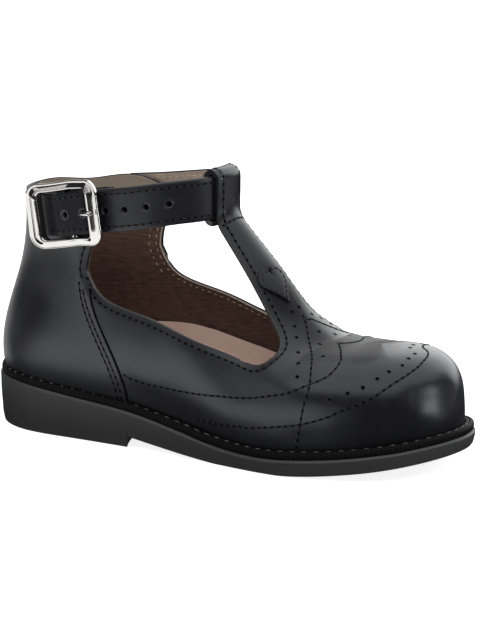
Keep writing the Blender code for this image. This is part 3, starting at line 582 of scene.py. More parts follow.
def points_of(mesh, what="co"):
    """Places of all points in millimetres, or their normals."""
    values = np.empty(3 * len(mesh.vertices), np.float32)
    mesh.vertices.foreach_get(what, values)
    return values.reshape(-1, 3) * (1.0 / MM if what == "co" else 1.0)


def add_piece(name, mesh, finishes, node=None, sharp=None):
    """Object for a finished mesh: smooth, riding on the shoe, and standing for a solid if one is named."""
    for finish in finishes if not mesh.materials else ():
        mesh.materials.append(finish)
    mesh.shade_smooth()
    if sharp:
        mesh.set_sharp_from_angle(angle=math.radians(sharp))
    piece = bpy.data.objects.new(name, mesh)
    bpy.context.scene.collection.objects.link(piece)
    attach(piece, "root")
    if node:
        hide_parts(node)
    mesh.calc_loop_triangles()
    print(name, len(mesh.loop_triangles), "triangles")
    return piece


print("solids to dress:", len(frame["nodes"]))

# %% [markdown]
# ## Leather finishes
# The upper is smooth calf with a half gloss: nearly black, a fine pebble of pores that only shows in the
# highlights, slow waves in the hide and a thin dressing on top. Where the foot bends the leather and hands
# take hold of it the dressing has gone dull, so a number kept on the points mixes in a drier leather there.
# A similar recipe gives the brown lining, unglazed, with faint lines along the shoe and painted light that
# makes it paler towards the top of the collar, and the cut edge.

# %% Leather
PORES = 5200.0


def black_leather(name, lift=0.0, gloss=0.25):
    """Dressed black leather: pores as cell pattern, slow waves and a little uneven gloss."""
    made = Finish(name, (0.012, 0.012, 0.013), coat_roughness=0.22, coat_ior=1.45, specular_ior_level=0.5,
                  specular_tint=(0.92, 0.94, 1.0, 1.0))
    cells = made.node("ShaderNodeTexVoronoi", {"feature": "SMOOTH_F1"}, {
        "Vector": made.place(), "Scale": PORES / 4.0, "Smoothness": 0.6})
    fine = made.noise(PORES, 2.0)
    slow = made.noise(70.0, 3.0)
    dust = made.noise(420.0, 4.0)
    colour = made.blend(dust, (0.0030 + lift, 0.0030 + lift, 0.0040 + lift),
                        (0.0062 + lift, 0.0060 + lift, 0.0074 + lift))
    pebble = made.bump(cells * 0.7 + fine * 0.5, 0.00005, 0.5)
    wave = made.node("ShaderNodeBump", None, {
        "Height": slow, "Distance": 0.0006, "Strength": 0.16, "Normal": pebble})
    dull = made.attribute("dull")
    made.worn_to(dull, (0.0045, 0.0045, 0.0055), wave, roughness=0.62, specular_ior_level=0.08)
    return made.wear(base_color=colour, roughness=gloss + 0.10 * dust + 0.06 * fine,
                     coat_weight=(0.10 + 0.16 * slow) * (1 - dull), normal=wave)


def brown_lining(name, dark, light, lines=(240.0, 240.0, 1500.0), collar=None):
    """Unglazed lining leather: faint lines along the shoe, a fine nap, and perhaps a paler collar of painted
    light.
    """
    made = Finish(name, dark, specular_ior_level=0.3)
    streak = made.noise(1.0, 3.0, lines)
    nap = made.noise(2600.0, 2.0)
    fibre = streak * 0.6 + nap * 0.4
    colour = made.blend(made.between(fibre, 0.24, 0.76), dark, light)
    # Painted light: the lining turns paler towards the top of the collar, where light from above reaches it.
    if collar:
        height = made.node("ShaderNodeSeparateXYZ", None, {0: made.place()}, 2)
        colour = made.blend(made.between(height + 0.012 * streak, 0.064, 0.079), colour, collar)
    return made.wear(base_color=colour, roughness=0.62 + 0.2 * nap, normal=made.bump(fibre, 0.00012, 0.6))


calf = black_leather("black calf")
# The collar colour of the lining is painted light from above.
lining = brown_lining("brown lining", (0.054, 0.030, 0.022), (0.165, 0.098, 0.078), collar=(0.26, 0.22, 0.17))
raw_edge = brown_lining("raw edge", (0.14, 0.105, 0.08), (0.30, 0.235, 0.18))
waxed_edge = brown_lining("waxed edge", (0.020, 0.014, 0.011), (0.055, 0.040, 0.031))
print("leather finishes:", calf.name, lining.name, raw_edge.name, waxed_edge.name)

# %% [markdown]
# ## Upper
# The upper is one wall: brown lining inside, black leather outside, and between them a cut edge that shows
# round every opening, black where the leather is turned in, and below that waxed dark on the outer side and
# left pale on the inner side. Its shape could be sculpted, but here it is worked out from the last, so every
# edge is where the sizes put it. The first step is a set of grids on the last that share their edges.

# %% Rows of the grids
WALL, HEEL_PIECE = 1.9, 0.6
# Rows over which the wall steps up to the heel piece, and its slanting front edge
STEP_ROWS = (7.775, 7.7875, 7.8)
HEEL_EDGE_FOOT, HEEL_EDGE_LEAN, LEAN_START = 7.97, 0.25, 6.5


def rounded_run(start, end, count):
    """Rows that crowd towards the round end of the opening, as a cosine."""
    return start + (end - start) * (1.0 - np.cos(np.linspace(0.0, math.pi / 2.0, count)))


def heel_edge(climb):
    """Row of the heel piece's front edge, which leans forward as it climbs."""
    return HEEL_EDGE_FOOT - HEEL_EDGE_LEAN * climb


def lean_rows(t, climb):
    """Rows near the heel piece, shifted so that one line of points follows its slanting front edge."""
    edge, step = heel_edge(climb), STEP_ROWS[-1]
    near = np.minimum(t, TURN - t)
    ahead = LEAN_START + (near - LEAN_START) * (edge - LEAN_START) / (step - LEAN_START)
    behind = edge + (near - step) * (SEAM - edge) / (SEAM - step)
    moved = np.where(near < LEAN_START, near, np.where(near < step, ahead, behind))
    moved = np.where(near > SEAM, near, moved)
    return np.where(t > HEEL, TURN - moved, moved)


tip = np.linspace(0.0, OPENING_TIP, 108)
low = rounded_run(OPENING_TIP, OPENING_LOW, 22)
wide = rounded_run(OPENING_TIP, OPENING_WIDE, 26)
bar = np.linspace(OPENING_WIDE, BAR_TOP, 46)
topline = np.sort(np.concatenate([np.linspace(OPENING_LOW, SEAM, 72), STEP_ROWS]))
heel = np.linspace(SEAM, TURN - SEAM, 121)
lower_rows = np.concatenate([tip, low[1:], topline[1:]])
upper_rows = np.concatenate([tip, wide[1:], bar[1:]])
toe_rows = np.concatenate([tip, low[1:]])
print("rows of the side:", len(lower_rows), "rows of the front:", len(upper_rows))

# %% Grids of the last's surface
CLIMB_STEPS, TOE_STEPS, LOOP_STEPS = 27, 10, 64


def surface_grid(surface, t, low, high, count, leaning=False):
    """Grid on a surface between two edges given as shares, with the heel piece's weight at each point."""
    low, high = (np.broadcast_to(edge, t.shape)[:, None] for edge in (low, high))
    share = low + (high - low) * np.linspace(0.0, 1.0, count)
    rows = np.broadcast_to(t[:, None], share.shape)
    near = np.minimum(rows, TURN - rows)
    step = smooth_step((near - STEP_ROWS[0]) / (STEP_ROWS[-1] - STEP_ROWS[0]))
    if leaning:
        rows = lean_rows(rows, share)
    points = surface(rows.ravel(), share.ravel()[:, None])[:, 0].reshape(*share.shape, 3)
    return points, step


def both_sides(t):
    """The same rows on the outer and on the inner side of the foot."""
    return t, TURN - t[::-1]


patches = [surface_grid(side, t, 0.0, 1.0, CLIMB_STEPS, True) for t in both_sides(lower_rows)]
patches += [surface_grid(front, t, 0.0, opening_low(t), TOE_STEPS) for t in both_sides(toe_rows)]
patches += [surface_grid(front, t, opening_high(t), 1.0, CLIMB_STEPS) for t in both_sides(upper_rows)]
bar_top_line = np.concatenate([patches[-2][0][-1], patches[-1][0][0][-2::-1]])
patches += [surface_grid(wall, heel, 0.0, 1.0, CLIMB_STEPS) for wall in (side, back)]
loop_grid = bar_loop(bar_top_line, LOOP_STEPS)
patches.append((loop_grid, np.zeros(loop_grid.shape[:2])))
print("grids of the upper:", [grid.shape[:2] for grid, _ in patches])

# %% [markdown]
# ## Hollows, swellings and dull places
# Leather that has been pulled over a last is never quite even. A few soft troughs and ridges, listed in the
# shoe's own sizes, keep the sides from looking turned on a lathe. Each is a line with a bell curve across it,
# so it fades out on all sides. The same sum, with other numbers, says where the dressing is dull.

# %% Hollows, swellings and dull places
# Start, end, width and height of each, in millimetres: a soft ridge or trough along a line
CREASES = (
    ((-61, -21, 30), (-56, -21, 41), 7.0, -0.45), ((-50, -22, 30), (-44, -21, 48), 8.0, 0.35),
    ((-12, -22, 22), (-2, -22, 34), 6.0, 0.30), ((16, -25, 16), (26, -25, 22), 6.0, 0.35),
    ((4, -23, 12), (-20, -22, 18), 4.0, -0.30), ((40, -26, 12), (54, -22, 14), 4.5, -0.30),
    ((76, -2, 17), (72, -10, 19), 3.5, 0.30), ((77, 2, 25), (72, -11, 26), 3.0, -0.30),
    ((-60, 18, 34), (-50, 21, 52), 8.0, -0.40), ((-8, 21, 22), (4, 22, 34), 7.0, 0.30),
    ((30, 27, 14), (50, 27, 18), 5.0, -0.30))
# The same numbers for the dull places, with the share of dressing that has gone in place of the height
DULL = (
    ((-63, -21, 28), (-56, -21, 41), 7.0, 0.70), ((-25, -24, 39), (-15, -24, 37), 6.0, 0.45),
    ((37, -4, 38), (20, -2, 47), 9.0, 0.72), ((20, -2, 47), (3, -1, 64), 7.0, 0.58),
    ((-68, 12, 36), (-60, 18, 52), 8.0, 0.5), ((14, 24, 24), (28, 26, 22), 7.0, 0.4))
DULL_MOST = 0.85


def bells(points, lines):
    """Sum over lines: each is its height times a bell curve of the distance from its line."""
    total = np.zeros(len(points))
    for start, end, width, height in lines:
        start, run = np.array(start, float), np.array(end, float) - start
        along = np.clip((points - start) @ run / (run @ run), 0.0, 1.0)[:, None]
        away = np.linalg.norm(points - start - along * run, axis=1)
        total += height * np.exp(-(away / width) ** 2)
    return total


def keep_dull(mesh):
    """Keep on each point of a mesh the share of dressing that has gone there."""
    keep_numbers(mesh, "dull", np.clip(bells(points_of(mesh), DULL), 0.0, DULL_MOST))


print("creases:", len(CREASES), "dull places:", len(DULL))

# %% [markdown]
# ## Cut edges of the upper
# The grids become one sheet. An edge of the sheet that only one face uses is a cut edge, and these are found
# by comparing the table of all edges with the same table read backwards.

# %% The last's surface as one sheet
def joined(grids):
    """Points and quads of several open grids, one after another."""
    sizes = np.cumsum([0] + [grid.shape[0] * grid.shape[1] for grid in grids])
    faces = [grid_faces(*grid.shape[:2], start=start) for grid, start in zip(grids, sizes)]
    return np.concatenate([grid.reshape(-1, 3) for grid in grids]), np.concatenate(faces)


last_mesh = new_mesh("last surface", *joined([grid for grid, _ in patches]))
keep_numbers(last_mesh, "heel piece", np.concatenate([step.ravel() for _, step in patches]))
merge_doubles(last_mesh, outward=False)
inner = points_of(last_mesh)
outward = points_of(last_mesh, "normal")
count = len(inner)
corners = np.empty(len(last_mesh.loops), np.int32)
last_mesh.loops.foreach_get("vertex_index", corners)
starts = np.empty(len(last_mesh.polygons), np.int32)
last_mesh.polygons.foreach_get("loop_start", starts)
following = np.roll(corners, -1)
following[np.append(starts[1:], len(corners)) - 1] = corners[starts]
edges = np.column_stack([corners, following]).astype(np.int64)
cut = edges[~np.isin(edges @ (count, 1), edges @ (1, count))]
face_corners = np.split(corners, starts[1:])
faces = [face.tolist() for face in face_corners]
print("faces:", len(faces), "cut edges:", len(cut))

# %% [markdown]
# ## Wall of the upper
# The inner face of the wall is the last itself. The outer face is the same surface pushed out along its
# normals by the thickness of the wall, less towards the cut edges, where leather is pared thin, and more over
# the heel piece, which is a second layer. A Solidify modifier would give an even wall only, so the thickness
# is worked out for each point.

# %% Wall of the upper
PARED_WIDTH, PARED_DEPTH, PARED_ABOVE = 2.4, 0.35, 4.0
TRIM_SHARE = 0.42
LOOP_FOOT, LOOP_REACH = 69.0, 9.0
LEATHER, LINING, RAW, WAXED = range(4)


def pared(points, edge):
    """0 at the cut edge, 1 from the paring's width inwards: a smooth step of the distance to the edge."""
    square = np.sum(points ** 2, axis=1)[:, None] + np.sum(edge ** 2, axis=1) - 2.0 * points @ edge.T
    return smooth_step(np.sqrt(np.maximum(square.min(axis=1), 0.0)) / PARED_WIDTH)


def on_loop(points):
    """Whether points belong to the loop, which is leather on both faces."""
    return (points[:, 2] > LOOP_FOOT) & (np.abs(points[:, 0]) < LOOP_REACH)


rim_points = np.unique(cut)
rim = inner[rim_points]
open_edge = rim[rim[:, 2] > sole_top(rim[:, 0]) + PARED_ABOVE]
thickness = WALL + HEEL_PIECE * numbers(last_mesh, "heel piece") + bells(inner + WALL * outward, CREASES)
thickness -= PARED_DEPTH * (1.0 - pared(inner, open_edge))
outer = inner + thickness[:, None] * outward
trim = TRIM_SHARE * outer[rim_points] + (1.0 - TRIM_SHARE) * rim
spot = 2 * count + np.searchsorted(rim_points, cut)
turned_in = np.column_stack([cut[:, 1], cut[:, 0], spot])
trimmed = np.column_stack([spot[:, ::-1], cut + count])
lining_faces = [(face[::-1] + count).tolist() for face in face_corners]
upper_mesh = new_mesh("upper_leather", np.concatenate([outer, inner, trim]),
                      faces + lining_faces + turned_in.tolist() + trimmed.tolist())
cut_start = inner[cut[:, 0]]
inside_finish = np.where(on_loop(inner[corners[starts]]), LEATHER, LINING)
trim_finish = np.where(on_loop(cut_start), LEATHER, np.where(cut_start[:, 1] < 0.0, WAXED, RAW))
upper_mesh.polygons.foreach_set("material_index", np.concatenate([
    np.full(len(faces), LEATHER), inside_finish, np.full(len(cut), LEATHER), trim_finish]).astype(np.int32))
keep_dull(upper_mesh)
add_piece("upper_leather", upper_mesh, (calf, lining, raw_edge, waxed_edge), "upper",
          sharp=50.0)
skin = BVHTree.FromPolygons(outer.tolist(), faces)
lining_skin = BVHTree.FromPolygons(inner.tolist(), [face[::-1].tolist() for face in face_corners])

# %% [markdown]
# ## Seams
# A seam is drawn on the last as a few places of row and climb, joined by a fair curve and then dropped on the
# finished leather. The wing on the vamp has a sharp cusp at the crest, so its two halves are lines of their
# own that end there.

# %% Lines on the leather
def dropped(points, onto=None):
    """Nearest places on a finished surface and the normals there."""
    hits = [(onto or skin).find_nearest(Vector(point)) for point in np.asarray(points).tolist()]
    return np.array([hit[0] for hit in hits]), np.array([hit[1] for hit in hits])


def on_last(t, climb):
    """Places of the last: climb 0 to 1 goes up the side, 1 to 2 from the belt over the front to the crest."""
    t = np.mod(t, TURN)
    low_part = side(t, np.clip(climb, 0.0, 1.0)[:, None])[:, 0]
    high_part = front(t, np.clip(climb - 1.0, 0.0, 1.0)[:, None])[:, 0]
    return np.where((climb <= 1.0)[:, None], low_part, high_part)


def seam_line(knots, count=160):
    """Fair curve through places of row and climb, dropped on the leather."""
    t, climb = spline(knots, np.linspace(0.0, len(knots) - 1.0, count)).T
    return dropped(on_last(t, climb))


# Row and climb of the knots; rows below zero lie on the inner side
SEAMS = {
    "outer quarter to vamp": (
        (7.66, 0.28), (6.24, 0.34), (5.27, 0.42), (4.43, 0.54), (3.71, 0.70), (2.93, 1.02), (2.52, 1.21),
        (2.22, 1.37), (2.14, 1.58), (2.24, 1.70), (2.44, 1.82), (2.77, 1.93)),
    "cusp to crest": ((2.77, 1.93), (2.66, 1.94), (2.57, 1.955), (2.47, 1.98), (2.42, 2.0)),
    "bar to crest": ((4.08, 1.96), (4.01, 1.965), (3.96, 2.0)),
    "outer bar to vamp": (
        (4.08, 1.96), (3.86, 1.90), (3.48, 1.79), (2.97, 1.66), (2.67, 1.46), (2.52, 1.20), (2.56, 0.97),
        (2.61, 0.74), (2.71, 0.26), (2.75, 0.03)),
    "inner quarter to vamp": (
        (-2.42, 2.0), (-2.37, 1.97), (-2.38, 1.93), (-2.42, 1.89), (-2.52, 1.83), (-2.62, 1.72),
        (-2.68, 1.55), (-2.75, 1.37), (-2.88, 1.2), (-3.1, 1.02), (-3.85, 0.70), (-4.5, 0.54), (-5.3, 0.42),
        (-6.25, 0.34), (-7.66, 0.29)),
    "inner bar to vamp": (
        (-3.96, 1.99), (-3.74, 1.88), (-3.48, 1.76), (-3.21, 1.65), (-2.9, 1.46), (-2.72, 1.2),
        (-2.72, 0.97), (-2.75, 0.74), (-2.8, 0.26), (-2.8, 0.03)),
    "wing of the toe": (
        (4.96, 0.18), (4.40, 0.22), (3.93, 0.29), (3.63, 0.33), (2.91, 0.51), (2.62, 0.59), (2.18, 0.76),
        (1.83, 0.96), (1.45, 1.10), (1.0, 1.30), (0.55, 1.46), (0.22, 1.56), (-0.18, 1.64), (-0.44, 1.70),
        (-0.9, 1.66), (-1.45, 1.42), (-2.0, 1.1), (-2.6, 0.8), (-3.2, 0.5), (-4.2, 0.27), (-5.0, 0.18))}
seams = [seam_line(knots) for knots in SEAMS.values()]
print("seams:", ", ".join(SEAMS))

# %% [markdown]
# ## Lines along the cut edges
# A row of stitches follows every cut edge at a fixed margin. The edge itself is known from the surfaces of
# the last, so its parts are strung together and then moved inwards over the leather.

# %% Lines along the cut edges
EDGE_MARGIN, EDGE_POINTS, QUARTER_POINTS, LOOP_SHOWN = 2.0, 360, 30, 30
# Point of the edge line at which the T-bar begins, for lines that stop there
BAR_START = 300


def edge_line(turned):
    """Cut edge of one side: down the quarter's front, along the topline, round the opening, up the bar."""
    def rows(t):
        return TURN - t if turned else t

    down = np.linspace(1.0, 0.0, QUARTER_POINTS)
    quarter = back(rows(np.full(QUARTER_POINTS, float(SEAM))), down[:, None])[:, 0]
    behind = side(rows(topline[::-1]), np.ones((len(topline), 1)))[:, 0]
    below = front(rows(low[::-1]), opening_low(low[::-1])[:, None])[:, 0]
    above = front(rows(wide), opening_high(rows(wide))[:, None])[:, 0]
    along = front(rows(bar), bar_share(rows(bar))[:, None])[:, 0]
    loop = loop_grid[:LOOP_SHOWN, -1 if turned else 0]
    line = np.concatenate([quarter] + [part[1:] for part in (behind, below, above, along, loop)])
    way = way_along(line)
    return read_at(np.linspace(0.0, way[-1], EDGE_POINTS), way, line)


def margin_line(edge, distance, onto=None):
    """Line at a distance inside a cut edge: the edge is moved along normal x direction and dropped."""
    run = unit(np.gradient(edge, axis=0))
    return dropped(edge + distance * np.cross(dropped(edge, onto)[1], run), onto)


outer_edge, inner_edge = edge_line(False), edge_line(True)
edge_seams = [margin_line(outer_edge, -EDGE_MARGIN), margin_line(inner_edge, EDGE_MARGIN)]
print("cut edges, mm:", [round(float(way_along(edge)[-1])) for edge in (outer_edge, inner_edge)])

# %% [markdown]
# ## Seams of the heel piece
# The heel piece is held by two rows of stitches behind its slanting front edge. In the side view they run
# beside that edge, so it is moved straight back there and dropped on the leather. The collar and the foot of
# the loop have one row each.

# %% Seams of the heel piece, collar and loop
HEEL_ROWS, HEEL_TOP, HEEL_FOOT, HEEL_POINTS = (1.6, 3.1), 0.97, 0.02, 60
COLLAR_SHARE, COLLAR_END, COLLAR_POINTS = 0.92, 0.1, 160
CROSS_ROW, CROSS_END = 1, 5


def heel_seam(turned, distance):
    """Line a distance behind the heel piece's front edge: the edge is moved back in the side view."""
    climb = np.linspace(HEEL_TOP, HEEL_FOOT, HEEL_POINTS)
    rows = heel_edge(climb)
    points = on_last(TURN - rows if turned else rows, climb)
    run = unit(np.gradient(points, axis=0))
    return dropped(points - distance * np.cross(run, (0.0, 1.0, 0.0)))


heel_seams = [heel_seam(turned, distance) for turned in (False, True) for distance in HEEL_ROWS]
cross_seam = dropped(loop_grid[CROSS_ROW, CROSS_END:-CROSS_END])
collar_rows = np.linspace(SEAM + COLLAR_END, TURN - SEAM - COLLAR_END, COLLAR_POINTS)
collar_seam = dropped(back(collar_rows, np.full((COLLAR_POINTS, 1), COLLAR_SHARE))[:, 0])
upper_seams = seams + edge_seams + heel_seams + [collar_seam, cross_seam]
print("lines to sew on the upper:", len(upper_seams))

# %% [markdown]
# ## Stitches
# Thread is set along a seam at an even pitch: each stitch is a short rounded bar whose ends dip into a needle
# hole. Hundreds of objects would be slow, so all the stitches of a kind are one mesh, made by moving one
# small template about. A needle hole is the same template, wider, lower and darker, between two stitches: its
# dark colour is painted shade, for the shadow inside the hole.

# %% Stitches
BEAD_RINGS, BEAD_SIDES = np.array([-0.85, -0.45, 0.0, 0.45, 0.85]), 6
STITCH = 2.35


def even_places(line, pitch, phase):
    """Places, directions and normals at an even pitch along a line."""
    points, normals = line
    way = way_along(points)
    total = max(1, int(round(way[-1] / pitch)))
    at = (np.arange(total) + phase) * way[-1] / total
    run = unit(read_at(at, way, np.gradient(points, axis=0)))
    normal = read_at(at, way, normals)
    normal = unit(normal - np.sum(normal * run, axis=1)[:, None] * run)
    return read_at(at, way, points), run, normal


def bead_template():
    """Rounded bar along x from -1 to 1: rings of six points whose size is the square root of 1 - x^4."""
    turn = np.arange(BEAD_SIDES) * 2.0 * math.pi / BEAD_SIDES
    size = ((1.0 - BEAD_RINGS ** 4) ** 0.5)[:, None]
    rings_of_bar = np.broadcast_arrays(BEAD_RINGS[:, None], size * np.cos(turn), size * np.sin(turn))
    tips = np.array([[-1.0, 0.0, 0.0], [1.0, 0.0, 0.0]])
    points = np.concatenate([tips[:1], np.stack(rings_of_bar, -1).reshape(-1, 3), tips[1:]])
    quads = grid_faces(len(BEAD_RINGS), BEAD_SIDES, close_columns=True, start=1)
    k = np.arange(BEAD_SIDES)
    after, end = (k + 1) % BEAD_SIDES, len(points) - 1
    first = np.column_stack([np.zeros_like(k), 1 + after, 1 + k])
    last = np.column_stack([np.full_like(k, end), end - BEAD_SIDES + k, end - BEAD_SIDES + after])
    return points, quads, np.concatenate([first, last])


def beads(name, lines, size, finish, pitch=STITCH, dip=0.0, lift=0.0, phase=0.5):
    """Copies of the template along lines: x along the line, y across it, z off the surface."""
    points, quads, ends = bead_template()
    sets = [even_places(line, pitch, phase) for line in lines]
    place, run, normal = (np.concatenate([row[k] for row in sets])[:, None] for k in range(3))
    across = np.cross(normal, run)
    x, y, z = (points[:, k][None, :, None] for k in range(3))
    length, width, height = size
    all_points = (place + x * length / 2.0 * run + y * width / 2.0 * across
                  + (lift + z * height / 2.0 - dip * x * x) * normal)
    start = (np.arange(len(place)) * len(points))[:, None, None]
    faces = (quads[None] + start).reshape(-1, 4).tolist() + (ends[None] + start).reshape(-1, 3).tolist()
    return add_piece(name, merge_doubles(new_mesh(name, all_points, faces)), (finish,))


def thread(name, dark, light, rough=0.6, shine=0.35):
    """Twisted thread: a fine uneven colour and a dull shine."""
    made = Finish(name, dark, specular_ior_level=shine)
    twist = made.noise(3000.0, 2.0)
    return made.wear(base_color=made.blend(twist, dark, light), roughness=rough + 0.2 * twist,
                     normal=made.bump(twist, 0.00008, 0.6))


black_thread = thread("black thread", (0.004, 0.004, 0.004), (0.012, 0.012, 0.013))
# Painted shade: a near-black dull finish for the shadow in needle holes, punched holes, grooves and the heel
# step.
painted_shade = thread("needle hole", (0.0012, 0.0012, 0.0012), (0.003, 0.003, 0.003), 0.75, 0.02)
beads("upper_stitches", upper_seams, (1.85, 0.56, 0.40), black_thread, dip=0.1, lift=0.06)
# Needle holes: dark beads of painted shade.
beads("needle_holes", upper_seams, (0.85, 0.75, 0.16), painted_shade, lift=0.03, phase=0.0)

# %% [markdown]
# ## Painted edges and seam grooves
# A cut edge of black leather is pared, rubbed round and painted. The paint stands as a fine black bead on the
# outer corner of the wall, all round the opening, the collar and the loop. The front of the heel piece, where
# one layer ends on another, has a dark line of painted shadow for the shade of the step, and the thread of
# every seam has pressed a groove, whose shade is painted as a dark line too. All of these are thin cords laid
# along lines that are already known.

# %% Painted edges and grooves
PAINT_SINK, PAINT_RADIUS = 0.22, 0.30
GROOVE_SINK, GROOVE_RADIUS, HEEL_SHADOW_RADIUS = 0.14, 0.32, 0.26
COLLAR_EDGE_POINTS = 200


def spokes(first, second, sides):
    """Directions round a circle for each place: cos a times its first way plus sin a times its second."""
    turn = np.arange(sides) * 2.0 * math.pi / sides
    return np.cos(turn)[:, None] * first[:, None] + np.sin(turn)[:, None] * second[:, None]


def cord(name, lines, radius, finish, sides=8):
    """Round cords along lines: a circle of points about each place, across the line and along its normal."""
    points, faces, start = [], [], 0
    for line, normals in lines:
        run = unit(np.gradient(line, axis=0))
        across = unit(np.cross(normals, run))
        circle = line[:, None] + radius * spokes(across, np.cross(run, across), sides)
        points.append(circle.reshape(-1, 3))
        faces += tube_faces(len(line), sides, start)
        start += len(points[-1])
    return add_piece(name, merge_doubles(new_mesh(name, np.concatenate(points), faces)), (finish,))


def sunk(line, depth):
    """Line moved into the leather by a depth."""
    points, normals = line
    return points - depth * normals, normals


def painted(edge):
    """Line just inside the outer corner of a cut edge."""
    return sunk(dropped(edge + 2.0 * WALL * dropped(edge)[1]), PAINT_SINK)


collar_rows = np.linspace(SEAM, TURN - SEAM, COLLAR_EDGE_POINTS)
collar_edge = back(collar_rows, np.ones((COLLAR_EDGE_POINTS, 1)))[:, 0]
cord("painted_edges", [painted(edge) for edge in (outer_edge, inner_edge, collar_edge)], PAINT_RADIUS,
     calf)
# Painted shadow: a dark cord along the heel piece's front edge stands for the shade of its step.
cord("heel_piece_shadow_line", [heel_seam(turned, 0.0) for turned in (False, True)], HEEL_SHADOW_RADIUS,
     painted_shade)
# Painted shade: dark cords sunk along the seams stand for the shadow in their grooves.
cord("seam_groove_shade", [sunk(line, GROOVE_SINK) for line in seams + edge_seams + heel_seams], GROOVE_RADIUS,
     painted_shade, 6)

# %% [markdown]
# ## Pinholes
# The vamp is trimmed with a row of small punched holes beside the wing of the toe and beside the T-bar. A
# hole is a dark disc of painted shade, for the shadow inside it, with a slightly raised lip where the punch
# pushed the leather up. Both are rings of points turned about the normal of the leather.

# %% Pinholes
# Row and climb of each hole: beside the wing of the toe, beside the T-bar and on the tongue of the wing
PINHOLES = (
    (2.12, 1.07), (1.82, 1.16), (1.56, 1.24), (1.31, 1.35), (1.09, 1.44), (0.80, 1.52), (0.56, 1.62),
    (0.25, 1.68), (-0.11, 1.79), (-0.6, 1.78), (-1.0, 1.68), (-1.35, 1.55), (-1.65, 1.42), (-1.95, 1.3),
    (-2.2, 1.18),
    (4.27, 1.99), (4.23, 1.88), (3.94, 1.78), (3.68, 1.70), (3.28, 1.58), (2.98, 1.45), (2.81, 1.27),
    (-4.06, 1.89), (-3.9, 1.78), (-3.68, 1.70), (-3.28, 1.58), (-2.98, 1.45), (-2.86, 1.27),
    (3.59, 1.96), (3.14, 1.83), (2.61, 1.64), (-3.31, 1.91), (-2.97, 1.80), (-2.70, 1.64))
# Radius and height of the lip and of the disc
PIN_LIP = ((0.54, 0.0), (0.58, 0.05), (0.68, 0.06), (0.80, 0.02), (0.86, -0.05))
PIN_DISC = ((0.0, 0.07), (0.30, 0.07), (0.62, 0.05), (0.62, -0.05), (0.0, -0.05))
NEARLY_UPRIGHT = 0.9


def rings(name, line, profile, finish, sides=14):
    """Turned shapes on a surface: each profile point is a radius and a height, swept round the normal."""
    points, normals = line
    helper = np.where(np.abs(normals[:, 2:3]) < NEARLY_UPRIGHT, UP, np.array([1.0, 0.0, 0.0]))
    across = unit(np.cross(normals, helper))
    spoke = spokes(across, np.cross(normals, across), sides)
    radius, height = np.array(profile).T
    grid = (points[:, None, None] + radius[None, :, None, None] * spoke[:, None]
            + height[None, :, None, None] * normals[:, None, None])
    faces = grid_faces(len(profile), sides, close_rows=True, close_columns=True)
    start = (np.arange(len(points)) * len(profile) * sides)[:, None, None]
    mesh = new_mesh(name, grid, (faces[None] + start).reshape(-1, 4))
    return add_piece(name, merge_doubles(mesh), (finish,))


pin_rows, pin_climb = np.array(PINHOLES).T
pin_places = dropped(on_last(pin_rows, pin_climb))
pin_lips = rings("pinhole_lips", pin_places, PIN_LIP, calf)
keep_dull(pin_lips.data)
# The dark discs are painted shade.
rings("pinholes", pin_places, PIN_DISC, painted_shade)

# %% [markdown]
# ## Sole
# Sole and heel are one rubber moulding. Its side is a profile carried round the outline of the last: a small
# bevel painted lighter as a highlight, then a nearly upright wall that narrows towards the tread, which curls
# up at the toe.

# %% Rings of the sole
SPRING_START, SPRING_LENGTH, SPRING_HEIGHT, SPRING_POWER, SPRING_MOST = 34.0, 46.0, 6.6, 1.45, 1.2
# Way in from the edge, drop below the top and share of the way down to the tread
SOLE_SIDE = ((0.55, 0.0, 0.0), (0.0, 0.7, 0.0), (0.1, 0.7, 0.35), (0.6, 0.7, 0.85), (1.1, 0.7, 1.0))
AROUND = 384
around = np.arange(AROUND) * TURN / AROUND
reach = last_line(around)[5]


def outline(offset):
    """Closed line beside the feather line, moved outwards in plan."""
    feather, _, out, _, _, _ = last_line(around)
    return feather[:, :2] + np.reshape(offset, (-1, 1)) * out[:, :2]


def toe_spring(x):
    """Height of the tread where the toe curls up: a power of the way past the ball."""
    way = np.clip((x - SPRING_START) / SPRING_LENGTH, 0.0, SPRING_MOST)
    return SPRING_HEIGHT * way ** SPRING_POWER


def sole_rings():
    """Rings of the sole from its top edge to the tread."""
    made = []
    for inset, drop, share in SOLE_SIDE:
        line = outline(reach - inset)
        top = sole_top(line[:, 0]) - drop
        made.append(np.column_stack([line, top - share * (top - toe_spring(line[:, 0]))]))
    return np.array(made)


def across_ring(ring, count):
    """Face across a closed ring: straight lines from each point of one side to its partner on the other."""
    half = len(ring) // 2
    near, far = ring[:half + 1], np.roll(ring[::-1], 1, axis=0)[:half + 1]
    share = np.linspace(0.0, 1.0, count)[None, :, None]
    return near[:, None] * (1.0 - share) + far[:, None] * share


def closed_mesh(name, rings_around, count=3):
    """Closed mesh from rings: walls between neighbouring rings and faces across the first and last."""
    rows, columns = rings_around.shape[:2]
    walls = grid_faces(rows, columns, close_columns=True)
    cap_points, cap_faces = joined([across_ring(rings_around[end], count) for end in (0, -1)])
    points = np.concatenate([rings_around.reshape(-1, 3), cap_points])
    return merge_doubles(new_mesh(name, points, np.concatenate([walls, cap_faces + rows * columns])))


print("sole, mm long: %.1f" % np.ptp(outline(reach)[:, 0]))

# %% [markdown]
# ## Arch and heel
# Between heel and ball the sole is hollowed into an arch, and the front of the heel is hollow too. The space
# is a closed shape made of side views, and one Boolean takes it out of the sole.

# %% Arch
BREAST_X, BREAST_HOLLOW, BREAST_HALF = -21.0, 7.5, 25.0
ARCH_END, ARCH_HEIGHT, ARCH_POWER, ARCH_DIP = 18.0, 3.5, 1.5, 0.25
ARCH_HALF, ARCH_FLOOR, ARCH_VIEWS, ARCH_STEPS = 34.0, -3.0, 33, 25


